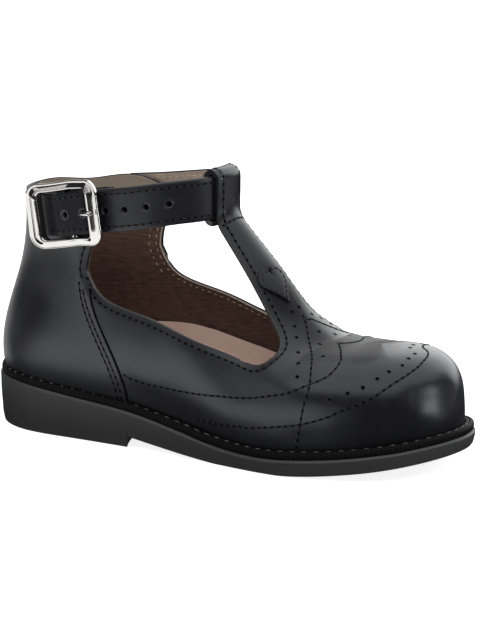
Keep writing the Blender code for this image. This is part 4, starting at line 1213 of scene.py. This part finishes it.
def arch_rings():
    """Space under the arch: side views from the heel's hollow front to the ball, one after another across."""
    y = np.linspace(-ARCH_HALF, ARCH_HALF, ARCH_VIEWS)[:, None]
    start = BREAST_X - BREAST_HOLLOW * (1.0 - (y / BREAST_HALF) ** 2)
    x = start + (ARCH_END - start) * np.linspace(0.0, 1.0, ARCH_STEPS)
    share = np.clip((x - BREAST_X) / (ARCH_END - BREAST_X), 0.0, 1.0)
    z = (ARCH_HEIGHT + ARCH_DIP) * (1.0 - share) ** ARCH_POWER - ARCH_DIP
    floor_line = np.full(ARCH_VIEWS, ARCH_FLOOR)
    x = np.column_stack([x, x[:, -1], x[:, 0]])
    z = np.column_stack([z, floor_line, floor_line])
    return np.stack([x, np.broadcast_to(y, x.shape), z], axis=-1)


def cut_away(mesh, cutter_mesh):
    """Mesh with a second closed mesh taken out of it."""
    target, cutter = (bpy.data.objects.new("cut", m) for m in (mesh, cutter_mesh))
    for item in (target, cutter):
        bpy.context.scene.collection.objects.link(item)
    step = target.modifiers.new("cut", "BOOLEAN")
    step.operation, step.object, step.solver = "DIFFERENCE", cutter, "EXACT"
    evaluated = target.evaluated_get(bpy.context.evaluated_depsgraph_get())
    result = bpy.data.meshes.new_from_object(evaluated)
    for item in (target, cutter):
        bpy.data.objects.remove(item)
    return result


arch = arch_rings()
arch_mesh = merge_doubles(new_mesh("arch", arch, tube_faces(*arch.shape[:2])))
sole_mesh = cut_away(closed_mesh("sole_unit", sole_rings()), arch_mesh)
print("points of the sole:", len(sole_mesh.vertices))

# %% [markdown]
# ## Rubber
# The side has fine lines along it, as rubber has that was trimmed on a wheel, so the finish reads how far a
# point lies below the top edge. Under the shoe a second number turns the lines into small ribs across.

# %% Rubber and sole
FACES_DOWN = -0.8


def trimmed_rubber(name, dark, light):
    """Black rubber: trimmed side with fine lines, a painted highlight on its top bevel, and small ribs across
    the tread.
    """
    made = Finish(name, dark, specular_ior_level=0.45)
    below = made.attribute("below top")
    along = made.place((30.0, 30.0, 0.0))
    line_place = made.node("ShaderNodeCombineXYZ", None, {"Z": below * 3.2})
    place = made.node("ShaderNodeVectorMath", {"operation": "ADD"}, {0: along, 1: line_place})
    lines = made.node("ShaderNodeTexNoise", None, {"Vector": place, "Scale": 1.0, "Detail": 3.0})
    grit = made.noise(2400.0, 2.0)
    tread = made.node("ShaderNodeTexWave", {"bands_direction": "X"}, {
        "Vector": made.place(), "Scale": 55.0, "Distortion": 0.0})
    under = made.attribute("tread")
    # Painted highlight: the bevel along the top edge is given a lighter colour.
    bevel_highlight = 1 - made.between(below, 0.55, 0.85)
    colour = made.blend(lines * 0.6 + grit * 0.4, dark, light)
    colour = made.blend(bevel_highlight * 0.5, colour, (0.05, 0.05, 0.052))
    height = (lines * 0.55 + grit * 0.3) * (1 - under) + tread * under * 3.0
    return made.wear(base_color=colour, roughness=0.46 + 0.16 * grit - 0.06 * bevel_highlight,
                     normal=made.bump(height, 0.00022, 0.55))


sole_points = points_of(sole_mesh)
keep_numbers(sole_mesh, "below top", sole_top(sole_points[:, 0]) - sole_points[:, 2])
keep_numbers(sole_mesh, "tread", points_of(sole_mesh, "normal")[:, 2] < FACES_DOWN)
rubber = trimmed_rubber("trimmed black rubber", (0.013, 0.013, 0.0135), (0.026, 0.026, 0.027))
add_piece("sole_unit", sole_mesh, (rubber,), "outsole", sharp=32.0)

# %% [markdown]
# ## Welt
# The welt is a narrow strip between sole and upper. It has a rounded lip, a shallow groove for the stitches
# and small marks pressed in with a wheel. The strip is a profile carried round the same outline as the sole.
# The marks are too many to model, so the finish makes them from the way round the shoe.

# %% Welt
WELT_HEIGHT, WELT_INSET, WELT_EASE = 2.2, 0.5, 0.05
# Outset and share of the height on the lip; share of the way in and depth across the groove
WELT_LIP = ((0.0, 0.0), (0.1, 0.25), (0.1, 0.5), (-0.05, 0.72), (-0.3, 0.88), (-0.62, 0.97), (-0.9, 1.0))
WELT_GROOVE = ((0.2, 0.05), (0.35, 0.28), (0.65, 0.28), (0.8, 0.05), (1.0, 0.0))
# Rows before the quarter's front edge over which the welt gives way to the heel piece
GIVE_START, GIVE_LENGTH = 0.23, 0.2
flare = last_line(around)[3][:, 0]
near_heel = np.clip((np.minimum(around, TURN - around) - SEAM + GIVE_START) / GIVE_LENGTH, 0.0, 1.0)
welt_inner = WALL + CLEARANCE + HEEL_PIECE * near_heel
welt_outer = reach - WELT_INSET


def welt_rings():
    """Rings of the welt: foot, rounded outer lip, groove of the stitches, inner edge beside the upper."""
    section = [(welt_inner, 0.0)]
    section += [(welt_outer + outset, share * WELT_HEIGHT) for outset, share in WELT_LIP]
    back_edge = welt_inner + flare * WELT_HEIGHT + WELT_EASE
    front_edge = welt_outer + WELT_LIP[-1][0]
    section += [(front_edge + (back_edge - front_edge) * share, WELT_HEIGHT - sink)
                for share, sink in WELT_GROOVE]
    made = []
    for offset, height in section:
        line = outline(offset)
        made.append(np.column_stack([line, sole_top(line[:, 0]) + CLEARANCE + height]))
    return np.array(made)


def wheeled_rubber(name):
    """Black welt: small marks across it at an even pitch, and a fine grit."""
    made = Finish(name, (0.003, 0.003, 0.0035), specular_ior_level=0.10)
    run = made.attribute("run")
    marks = made.between(made.maths("SINE", run * 4.2), -0.75, -0.2)
    grit = made.noise(2600.0, 2.0)
    return made.wear(base_color=made.blend(grit * marks, (0.0016, 0.0016, 0.002), (0.005, 0.005, 0.0055)),
                     roughness=0.50 + 0.18 * grit, normal=made.bump(marks + grit * 0.3, 0.0003, 0.5))


welt_grid = welt_rings()
welt_mesh = new_mesh("welt_strip", welt_grid, grid_faces(*welt_grid.shape[:2], True, True))
keep_numbers(welt_mesh, "run", np.broadcast_to(way_along(outline(reach)), welt_grid.shape[:2]))
merge_doubles(welt_mesh)
add_piece("welt_strip", welt_mesh, (wheeled_rubber("black welt"),), "welt", sharp=45.0)

# %% [markdown]
# ## Welt stitches
# A row of grey stitches lies in the groove of the welt and holds it to the sole. The middle of the groove is
# already a ring of the welt's grid, so the beads of the upper can be laid along it.

# %% Welt stitches
WELT_STITCH = 3.9
welt_groove = (welt_grid[-4] + welt_grid[-3]) / 2.0
welt_line = (np.concatenate([welt_groove, welt_groove[:1]]), np.tile(UP, (AROUND + 1, 1)))
grey_thread = thread("grey thread", (0.10, 0.10, 0.10), (0.20, 0.20, 0.20))
beads("welt_stitches", [welt_line], (2.3, 0.55, 0.45), grey_thread, WELT_STITCH, dip=0.18,
      lift=0.08)

# %% [markdown]
# ## Insole
# Through the opening the pale insole shows. It is a board under thin unglazed leather, matt and fibrous. On
# the inner side it climbs the wall as a wing that carries the arch of the foot. Rings run round the outline,
# each a little further in, and a table along the shoe says how high and how far out the wing goes.

# %% Insole
INSOLE_HEIGHT, INSOLE_INSET, INSOLE_STEPS = 2.4, 0.4, 15
# Way in from the edge, drop below the top and share of the wing's rise there
INSOLE_TOP = ((0.0, 0.8, 1.0), (0.25, 0.15, 1.0), (0.6, 0.0, 0.95), (1.4, 0.0, 0.81), (2.3, 0.0, 0.65),
              (3.2, 0.0, 0.50), (4.2, 0.0, 0.36), (5.4, 0.0, 0.24), (6.5, 0.0, 0.15), (8.4, 0.0, 0.05),
              (10.5, 0.0, 0.0))
# Rise and outset of the wing at the sections of the last
WING = ((0.0, -0.4), (0.0, -0.4), (0.0, -0.4), (0.8, -0.4), (6.5, -0.3), (14.8, 0.5), (15.4, 1.5),
        (15.7, 1.9), (15.6, 1.9), (12.8, 1.3), (2.5, -0.4), (0.0, -0.4), (0.0, -0.4))


def insole_rings():
    """Rings of the insole: its foot, then its top edge and ever smaller rings down the wing to the flat."""
    rise, outset = steady(WING, np.where(around > HEEL, TURN - around, 0.0)).T
    foot = outline(-INSOLE_INSET)
    made = [np.column_stack([foot, sole_top(foot[:, 0]) + CLEARANCE])]
    for inset, drop, share in INSOLE_TOP:
        line = outline(outset - inset)
        height = CLEARANCE + INSOLE_HEIGHT - drop + share * rise
        made.append(np.column_stack([line, sole_top(line[:, 0]) + height]))
    return np.array(made)


def insole_leather(name):
    """Pale unglazed leather: long fibres, soft blotches and a fine nap."""
    made = Finish(name, (0.74, 0.54, 0.46), specular_ior_level=0.25)
    fibre = made.noise(1.0, 3.0, (220.0, 1500.0, 900.0))
    blotch = made.noise(90.0, 3.0)
    colour = made.blend(blotch, (0.70, 0.50, 0.42), (0.80, 0.60, 0.52))
    colour = made.blend(fibre * 0.30, colour, (0.55, 0.38, 0.31))
    return made.wear(base_color=colour, roughness=0.68 + 0.2 * fibre, normal=made.bump(fibre, 0.00016, 0.6))


insole_mesh = closed_mesh("insole_board", insole_rings(), INSOLE_STEPS)
add_piece("insole_board", insole_mesh, (insole_leather("pale insole"),), "insole",
          sharp=60.0)

# %% [markdown]
# ## Path of the ankle strap
# The strap runs from the inner quarter through the loop of the T-bar to the buckle. Its path is a fair curve
# with an upward direction at every place, so a point of the strap is three numbers: the way along, the way
# across and the height off the leather. Under the buckle the strap climbs over the centre bar.

# %% Path of the strap
# Places on the quarters as row and height, and free places over the instep as x, y, z
STRAP_INNER = ((14.86, 69.2), (15.15, 69.5), (15.45, 69.8), (15.75, 70.2))
STRAP_FREE = ((-22.0, 22.3, 72.5), (-10.4, 16.9, 75.0), (-4.0, 8.6, 76.5), (-2.45, 0.0, 76.9),
              (-4.0, -8.6, 76.9), (-10.4, -16.8, 76.4), (-20.5, -21.6, 74.6))
STRAP_OUTER = ((8.25, 72.4), (8.6, 71.4), (8.95, 70.5), (9.3, 69.7), (9.75, 69.0))
BUCKLE_PLACE = (8.72, 71.0)
STRAP_LIFT, LIFT_SHIFT, LIFT_FLAT, LIFT_END = 2.2, 2.6, 3.6, 9.2
STRAP_POINTS, SHARE_STEPS, BESIDE = 600, 201, 0.01


def quarter_place(t, z):
    """Place just off the quarter at a row and a height, and the upward direction of the leather there."""
    shares = np.linspace(0.0, 1.0, SHARE_STEPS)
    share = np.interp(z, back(np.array([t]), shares[None])[0][:, 2], shares)
    rows = back(np.array([t - BESIDE, t, t + BESIDE]), np.full((3, 1), share))[:, 0]
    rise = back(np.array([t]), np.array([[share - BESIDE, share + BESIDE]]))[0]
    up = unit(rise[1] - rise[0])
    return rows[1] + (WALL + HEEL_PIECE + CLEARANCE) * unit(np.cross(up, rows[2] - rows[0])), up


strap_knots = [quarter_place(*place) for place in STRAP_INNER] + [(np.array(p), UP) for p in STRAP_FREE]
strap_knots += [quarter_place(*place) for place in STRAP_OUTER]
strap_at = np.linspace(0.0, len(strap_knots) - 1.0, STRAP_POINTS)
strap_line = spline([place for place, _ in strap_knots], strap_at)
strap_run = unit(np.gradient(strap_line, axis=0))
strap_up = spline([up for _, up in strap_knots], strap_at)
strap_up = unit(strap_up - np.sum(strap_up * strap_run, axis=1)[:, None] * strap_run)
strap_out = np.cross(strap_up, strap_run)
strap_way = way_along(strap_line)
strap_length = strap_way[-1]
buckle_bar = strap_way[np.argmin(np.linalg.norm(strap_line - quarter_place(*BUCKLE_PLACE)[0], axis=1))]


def strap_lift(s):
    """Rise of the strap over the buckle's centre bar: a smooth step up and down."""
    return STRAP_LIFT * smooth_step((LIFT_END - np.abs(s - buckle_bar + LIFT_SHIFT)) / (LIFT_END - LIFT_FLAT))


def strap_point(s, u, n):
    """Point at s along the strap, u across it and n out from it."""
    line, up, out = (read_at(s, strap_way, rows) for rows in (strap_line, strap_up, strap_out))
    return line + np.asarray(u)[..., None] * up + np.asarray(n)[..., None] * out


print("strap %.0f mm long, centre bar at %.0f mm" % (strap_length, buckle_bar))

# %% [markdown]
# ## Ankle strap
# The strap is black outside and tan inside, with rounded edges, a round tip and six punched holes. A section
# with eased edges is carried along the path, and the holes are cut with one Boolean, as a punch would do it.
# In the buckle, where the strap is bent and pulled, its leather is dull.

# %% Section and punches
STRAP_WIDTH, STRAP_THICKNESS, STRAP_TIP, STRAP_EASE = 13.4, 2.0, 6.0, 0.55
HOLE_RADIUS, HOLE_PITCH, HOLE_COUNT, HOLE_SIDES, HOLE_REACH = 1.35, 6.6, 6, 28, 3.0
EASE_STEPS, FLAT_STEPS, BODY_STEPS, TIP_STEPS = 5, 11, 200, 14
TIP_LEAST, TIP_CLOSED = 0.12, 0.999


def strap_section():
    """Section of the strap, across it and out from it: flat faces and rounded edges."""
    turn = np.linspace(0.0, math.pi / 2.0, EASE_STEPS)
    edge = STRAP_WIDTH / 2.0 - STRAP_EASE
    flat = np.linspace(-edge, edge, FLAT_STEPS + 2)[1:-1]
    corner = STRAP_EASE * np.column_stack([np.sin(turn), 1.0 - np.cos(turn)])
    low_right = np.column_stack([edge + corner[:, 0], corner[:, 1]])
    high_right = np.column_stack([edge + corner[::-1, 0], STRAP_THICKNESS - corner[::-1, 1]])
    bottom = np.column_stack([flat, np.zeros(FLAT_STEPS)])
    top = np.column_stack([flat[::-1], np.full(FLAT_STEPS, STRAP_THICKNESS)])
    high_left, low_left = high_right[::-1] * (-1, 1), low_right[::-1] * (-1, 1)
    return np.concatenate([bottom, low_right, high_right, top, high_left, low_left])


def strap_grid():
    """Sections along the strap; the last millimetres narrow to a round tip."""
    body = np.linspace(0.0, strap_length - STRAP_TIP, BODY_STEPS)
    end = strap_length - STRAP_TIP * (1.0 - np.sin(np.linspace(0.0, math.pi / 2.0, TIP_STEPS)[1:]))
    s = np.concatenate([body, end])[:, None]
    into = np.clip((s - strap_length + STRAP_TIP) / STRAP_TIP, 0.0, 1.0)
    width = np.maximum(TIP_LEAST, np.sqrt(1.0 - np.minimum(into, TIP_CLOSED) ** 2))
    section = strap_section()
    u, n = section[None, :, 0] * width, section[None, :, 1] + strap_lift(s)
    return strap_point(np.broadcast_to(s, u.shape), u, n)


def punches(places):
    """Round punches through the strap, one closed rod for each place along it."""
    turn = np.arange(HOLE_SIDES) * 2.0 * math.pi / HOLE_SIDES
    ways = np.array(places)[:, None, None]
    ends = np.array([-HOLE_REACH, HOLE_REACH])[None, :, None]
    n = ends + strap_lift(ways) + STRAP_THICKNESS / 2.0
    grid = strap_point(*np.broadcast_arrays(ways + HOLE_RADIUS * np.cos(turn), HOLE_RADIUS * np.sin(turn), n))
    faces = [tube_faces(2, HOLE_SIDES, 2 * HOLE_SIDES * k) for k in range(len(places))]
    return merge_doubles(new_mesh("punches", grid, sum(faces, [])))


print("points round the strap:", len(strap_section()))

# %% Strap
DULL_REST, DULL_MORE, DULL_REACH, DULL_POWER = 0.12, 0.75, 12.0, 4
strap_leather = black_leather("black strap leather", 0.0005, 0.34)
tan_lining = brown_lining("tan lining", (0.24, 0.185, 0.145), (0.40, 0.32, 0.26), (300.0, 300.0, 900.0))
grid = strap_grid()
strap_faces = tube_faces(*grid.shape[:2])
strap_mesh = new_mesh("ankle_strap_leather", grid, strap_faces)
tanned = np.arange(len(strap_faces)) % grid.shape[1] <= FLAT_STEPS
tanned[-2:] = False
strap_mesh.polygons.foreach_set("material_index", tanned.astype(np.int32))
merge_doubles(strap_mesh)
for finish in (strap_leather, tan_lining):
    strap_mesh.materials.append(finish)
hole_ways = buckle_bar - HOLE_PITCH * np.arange(HOLE_COUNT)
strap_mesh = cut_away(strap_mesh, punches(hole_ways))
away = np.linalg.norm(points_of(strap_mesh) - strap_point(buckle_bar - 1.0, 0.0, STRAP_THICKNESS), axis=1)
keep_numbers(strap_mesh, "dull", DULL_REST + DULL_MORE * np.exp(-(away / DULL_REACH) ** DULL_POWER))
add_piece("ankle_strap_leather", strap_mesh, (strap_leather, tan_lining), "ankle_strap",
          sharp=40.0)

# %% [markdown]
# ## Stitches and holes of the strap
# A row of black stitches runs along each edge of the strap, with cream thread on the tan side. The beads of
# the upper are laid along lines of the strap's own path. Each punched hole gets a soft lip and a dark floor
# of painted shade, for the shadow deep in the hole.

# %% Strap stitches
STRAP_STITCH, STRAP_MARGIN = 2.3, 1.7
# Where the rows start, how far before the tip they stop, and how far before the bar the cream ones do
ROW_START, ROW_STOP, CREAM_STOP, ROW_POINTS = 1.5, 6.5, 34.0, 240


def strap_path(u, n, end, outward=1.0):
    """Line along the strap at u across it, and its normals."""
    s = np.linspace(ROW_START, end, ROW_POINTS)
    u, n = np.full(ROW_POINTS, u), n + strap_lift(s)
    line = strap_point(s, u, n)
    return line, unit(strap_point(s, u, n + outward) - line)


strap_edge = STRAP_WIDTH / 2.0 - STRAP_MARGIN
strap_rows = [strap_path(u, STRAP_THICKNESS, strap_length - ROW_STOP) for u in (-strap_edge, strap_edge)]
cream_rows = [strap_path(u, 0.0, buckle_bar - CREAM_STOP, -1.0) for u in (-strap_edge, strap_edge)]
cream_thread = thread("cream thread", (0.36, 0.30, 0.23), (0.55, 0.48, 0.38))
beads("strap_stitches", strap_rows, (1.7, 0.42, 0.34), black_thread, STRAP_STITCH, dip=0.1,
      lift=0.05)
# Needle holes of the strap: dark beads of painted shade.
beads("strap_needle_holes", strap_rows, (0.75, 0.6, 0.16), painted_shade, STRAP_STITCH,
      lift=0.03, phase=0.0)
beads("strap_lining_stitches", cream_rows, (1.4, 0.4, 0.3), cream_thread, STRAP_STITCH,
      dip=0.1, lift=0.05)

# %% Lips and floors of the holes
# Radius and height over the strap's face
HOLE_LIP = ((1.80, -0.10), (1.62, 0.02), (1.42, 0.05), (1.20, 0.02), (0.95, -0.16), (0.72, -0.50),
            (0.66, -0.90), (0.66, -1.60), (1.33, -1.60), (1.33, -0.50))
HOLE_FLOOR = ((0.02, -1.10), (0.70, -1.05), (0.70, -1.20), (0.02, -1.40))
hole_top = STRAP_THICKNESS + strap_lift(hole_ways)
hole_line, hole_above = (strap_point(hole_ways, np.zeros(HOLE_COUNT), hole_top + rise) for rise in (0.0, 1.0))
hole_places = (hole_line, hole_above - hole_line)
rings("strap_hole_lips", hole_places, HOLE_LIP, strap_leather, HOLE_SIDES)
# Painted shade: the dark floors close the holes and stand for the shadow inside them.
rings("strap_hole_shade", hole_places, HOLE_FLOOR, painted_shade, HOLE_SIDES)

# %% [markdown]
# ## Cream stitches on the lining
# The needle goes through both layers, so the seams of the cut edges also show inside, in cream thread. The
# same edge lines are dropped on the lining this time, and the beads are turned to face the foot.

# %% Cream stitches on the lining
LINING_MARGIN, SECOND_ROW, SECOND_END = 1.3, 2.4, 60


def towards_foot(line):
    """The same line with its normals turned towards the middle of the shoe."""
    points, normals = line
    return points, -normals if normals[0] @ (points[0] * (1, 1, 0)) > 0 else normals


lining_seams = [margin_line(outer_edge[:BAR_START], LINING_MARGIN, lining_skin),
                margin_line(inner_edge[:BAR_START], -LINING_MARGIN, lining_skin),
                margin_line(inner_edge[:SECOND_END], -LINING_MARGIN - SECOND_ROW, lining_skin)]
beads("lining_stitches", [towards_foot(line) for line in lining_seams], (1.25, 0.32, 0.24),
      cream_thread, dip=0.08, lift=0.03)

# %% [markdown]
# ## Buckle
# The buckle is a cast and polished frame, dished so that its ends stand off the ankle. Its bars have a
# rounded bead round the opening, a face that falls away outwards and a thin rim; the two bars across the
# strap are wider. The section is carried round a rectangle with round corners, which a Bevel on a cut plate
# could not give. A thin bar across the middle holds the prong; it lies under the strap and is painted near
# black as shade.

# %% Frame of the buckle
BUCKLE_LENGTH, BUCKLE_HEIGHT, SIDE_BAR, LONG_BAR, CORNER = 27.0, 20.4, 4.4, 2.8, 3.2
BUCKLE_DEPTH, FRAME_RISE, FRAME_DISH, FACE_FALL, FALL_LEAST = 2.4, 2.7, 3.4, 1.25, 0.2
CORNER_STEPS, FRAME_STEPS = 13, 60
# Share of the half width outwards, share of the half depth, share of the fall of the face
BAR_SECTION = (
    (-0.80, -0.97, 0.0), (-0.93, -0.85, 0.0), (-1.0, -0.6, 0.0), (-1.0, 0.0, 0.0), (-1.0, 0.45, -0.3),
    (-0.97, 0.72, -0.5), (-0.87, 0.90, -0.5), (-0.72, 0.99, -0.5), (-0.55, 1.0, -0.5), (-0.42, 0.96, -0.46),
    (-0.32, 0.92, -0.38), (0.05, 0.92, 0.0), (0.45, 0.92, 0.42), (0.62, 0.93, 0.5), (0.72, 0.96, 0.5),
    (0.80, 0.97, 0.5), (0.89, 0.92, 0.5), (0.96, 0.78, 0.5), (1.0, 0.55, 0.4), (1.0, 0.2, 0.2),
    (1.0, -0.35, 0.0), (0.98, -0.7, 0.0), (0.90, -0.9, 0.0), (0.75, -1.0, 0.0), (0.0, -1.0, 0.0))


def frame_path():
    """Rectangle with round corners in the plane of the strap, and its outward directions."""
    half = np.array([BUCKLE_LENGTH - SIDE_BAR, BUCKLE_HEIGHT - LONG_BAR]) / 2.0
    angle = np.linspace(0.0, math.pi / 2.0, CORNER_STEPS)
    turn = np.concatenate([angle + k * math.pi / 2.0 for k in range(4)])
    signs = np.repeat([(1, 1), (-1, 1), (-1, -1), (1, -1)], CORNER_STEPS, axis=0)
    normals = np.column_stack([np.cos(turn), np.sin(turn)])
    points = signs * (half - CORNER) + CORNER * normals
    points, normals = (np.concatenate([rows, rows[:1]]) for rows in (points, normals))
    way = way_along(points)
    between = np.linspace(0.0, way[-1], FRAME_STEPS + 1)[:-1] + 0.01
    at = np.sort(np.concatenate([way[:-1], between]))
    return read_at(at, way, points), unit(read_at(at, way, normals))


def buckle_grid():
    """Section of the bars at every place of the path; its face falls further on the bars across the strap."""
    path, normals = frame_path()
    wide = np.abs(normals[:, 0])
    half = (LONG_BAR + (SIDE_BAR - LONG_BAR) * wide) / 2.0
    across, high, fall = np.array(BAR_SECTION).T
    line = path[:, None] + (half[:, None] * across)[..., None] * normals[:, None]
    rise = FRAME_RISE + FRAME_DISH * (line[..., 0] / (BUCKLE_LENGTH / 2.0)) ** 2
    drop = FACE_FALL * (FALL_LEAST + (1.0 - FALL_LEAST) * wide)
    height = rise + high * BUCKLE_DEPTH / 2.0 - fall * drop[:, None]
    return strap_point(buckle_bar + line[..., 0], line[..., 1], height)


buckle = buckle_grid()
print("sections of the frame:", len(buckle))

# %% Buckle
ROD_SIDES, BAR_POINTS, BAR_RISE, BAR_RADIUS = 16, 24, 1.0, 0.9


def rod(path, normal, radius):
    """Round rod along a path; its radius is given at each place."""
    run = unit(np.gradient(path, axis=0))
    side_way = unit(np.cross(run, normal))
    spoke = spokes(side_way, np.cross(side_way, run), ROD_SIDES)
    return path[:, None] + np.reshape(radius, (-1, 1, 1)) * spoke


def polished(name, tint):
    """Plated metal: bright, with faint hairlines and a few dull smears from handling."""
    made = Finish(name, tint, metallic=1.0)
    smear = made.noise(160.0, 4.0)
    hair = made.noise(1.0, 2.0, (400.0, 400.0, 5200.0))
    colour = made.blend(smear, tint, tuple(0.9 * part for part in tint))
    return made.wear(base_color=colour, roughness=0.06 + 0.10 * smear ** 2.0 + 0.03 * hair,
                     normal=made.bump(hair, 0.00002, 0.15))


chrome = polished("polished plate", (0.56, 0.55, 0.53))
# Painted shade: the centre bar lies under the strap, so its finish is near black and dull, without glints.
shade_painted = thread("blackened bar", (0.002, 0.002, 0.002), (0.005, 0.005, 0.005), 0.65, 0.05)
bar_way = np.full(BAR_POINTS, buckle_bar)
bar_across = np.linspace(-1.0, 1.0, BAR_POINTS) * (BUCKLE_HEIGHT - LONG_BAR) / 2.0
bar_heights = (np.full(BAR_POINTS, BAR_RISE + rise) for rise in (0.0, 1.0))
bar_line, bar_above = (strap_point(bar_way, bar_across, height) for height in bar_heights)
centre_bar = rod(bar_line, bar_above - bar_line, np.full(BAR_POINTS, BAR_RADIUS))
buckle_points = np.concatenate([buckle.reshape(-1, 3), centre_bar.reshape(-1, 3)])
frame_faces = grid_faces(*buckle.shape[:2], True, True).tolist()
bar_faces = tube_faces(BAR_POINTS, ROD_SIDES, buckle.shape[0] * buckle.shape[1])
buckle_mesh = merge_doubles(new_mesh("buckle", buckle_points, frame_faces + bar_faces))
add_piece("buckle", buckle_mesh, (chrome, shade_painted), "buckle_frame", sharp=60.0)
shade_painted_face = np.arange(len(buckle_mesh.polygons)) >= len(frame_faces)
buckle_mesh.polygons.foreach_set("material_index", shade_painted_face.astype(np.int32))

# %% [markdown]
# ## Prong
# The prong is a bent wire: it starts at the centre bar under the strap, comes up through one of the holes and
# rests on the front bar. It is a rod along a fair curve in the side view of the strap, blunt at its tip.

# %% Prong
# Way ahead of the centre bar and height over the strap's path
PRONG_PATH = ((1.25, 1.0), (3.5, 1.0), (5.6, 1.1), (6.6, 2.6), (6.7, 4.4), (7.6, 6.1), (9.4, 6.95),
              (11.2, 7.2))
PRONG_POINTS, PRONG_RADIUS, PRONG_BLUNT, PRONG_LEAST = 60, 0.75, 0.35, 0.15
prong_at = np.linspace(0.0, len(PRONG_PATH) - 1.0, PRONG_POINTS)
prong_way, prong_high = spline(PRONG_PATH, prong_at).T
prong_line, prong_beside = (strap_point(buckle_bar - prong_way, np.full(PRONG_POINTS, u), prong_high)
                            for u in (0.0, 1.0))
to_tip = np.clip((prong_at[-1] - prong_at) / PRONG_BLUNT, 0.0, 1.0)
prong_size = PRONG_RADIUS * np.clip(np.sqrt(to_tip), PRONG_LEAST, 1.0)
prong = rod(prong_line, prong_beside - prong_line, prong_size)
prong_mesh = merge_doubles(new_mesh("prong", prong, tube_faces(PRONG_POINTS, ROD_SIDES)))
add_piece("prong", prong_mesh, (chrome,), "buckle_prong", sharp=60.0)

# %% [markdown]
# ## Heart
# A small leather heart is sewn on the T-bar. Its outline is a well-known curve of sines and cosines, laid on
# the bar by row and by distance from the middle, and its face swells slightly between the stitches.

# %% Heart
HEART_ROW, HEART_ALONG, HEART_SIDE, HEART_HALF, HEART_POINTS = 4.68, 0.31, -3.0, 4.1, 96
# Share of the outline and height over the bar
HEART_PROFILE = ((0.02, 0.0), (0.5, 0.0), (1.0, 0.0), (1.0, 0.45), (0.985, 0.62), (0.94, 0.70), (0.86, 0.70),
                 (0.78, 0.68), (0.66, 0.80), (0.45, 0.92), (0.2, 0.98), (0.02, 1.0))
HEART_SEAM, HEART_STITCH, HEART_DULL = (0.82, 0.70), 1.9, 0.4
heart_turn = np.linspace(0.0, 2.0 * math.pi, HEART_POINTS, endpoint=False) + NUDGE
heart_y = np.sin(heart_turn) ** 3
heart_t = (13 * np.cos(heart_turn) - 5 * np.cos(2 * heart_turn) - 2 * np.cos(3 * heart_turn)
           - np.cos(4 * heart_turn)) / 16.0


def heart_ring(share, height):
    """The outline drawn in by a share and lifted off the bar by a height, with the normals of the bar."""
    t = HEART_ROW + HEART_ALONG * share * heart_t
    y = HEART_SIDE + HEART_HALF * share * heart_y
    rows = np.where(y < 0.0, t, TURN - t)
    at = bar_share(rows, np.abs(y))
    points, normals = dropped(front(rows, at[:, None])[:, 0])
    return points + (CLEARANCE + height) * normals, normals


heart = np.array([heart_ring(share, height)[0] for share, height in HEART_PROFILE])
heart_mesh = merge_doubles(new_mesh("heart", heart, tube_faces(*heart.shape[:2])))
keep_numbers(heart_mesh, "dull", np.full(len(heart_mesh.vertices), HEART_DULL))
patch_leather = black_leather("black patch leather", 0.0005, 0.33)
add_piece("heart", heart_mesh, (patch_leather,), "heart_patch", sharp=50.0)
heart_line = [np.concatenate([rows, rows[:1]]) for rows in heart_ring(*HEART_SEAM)]
beads("heart_stitches", [heart_line], (1.4, 0.4, 0.3), black_thread, HEART_STITCH, dip=0.08,
      lift=0.05)
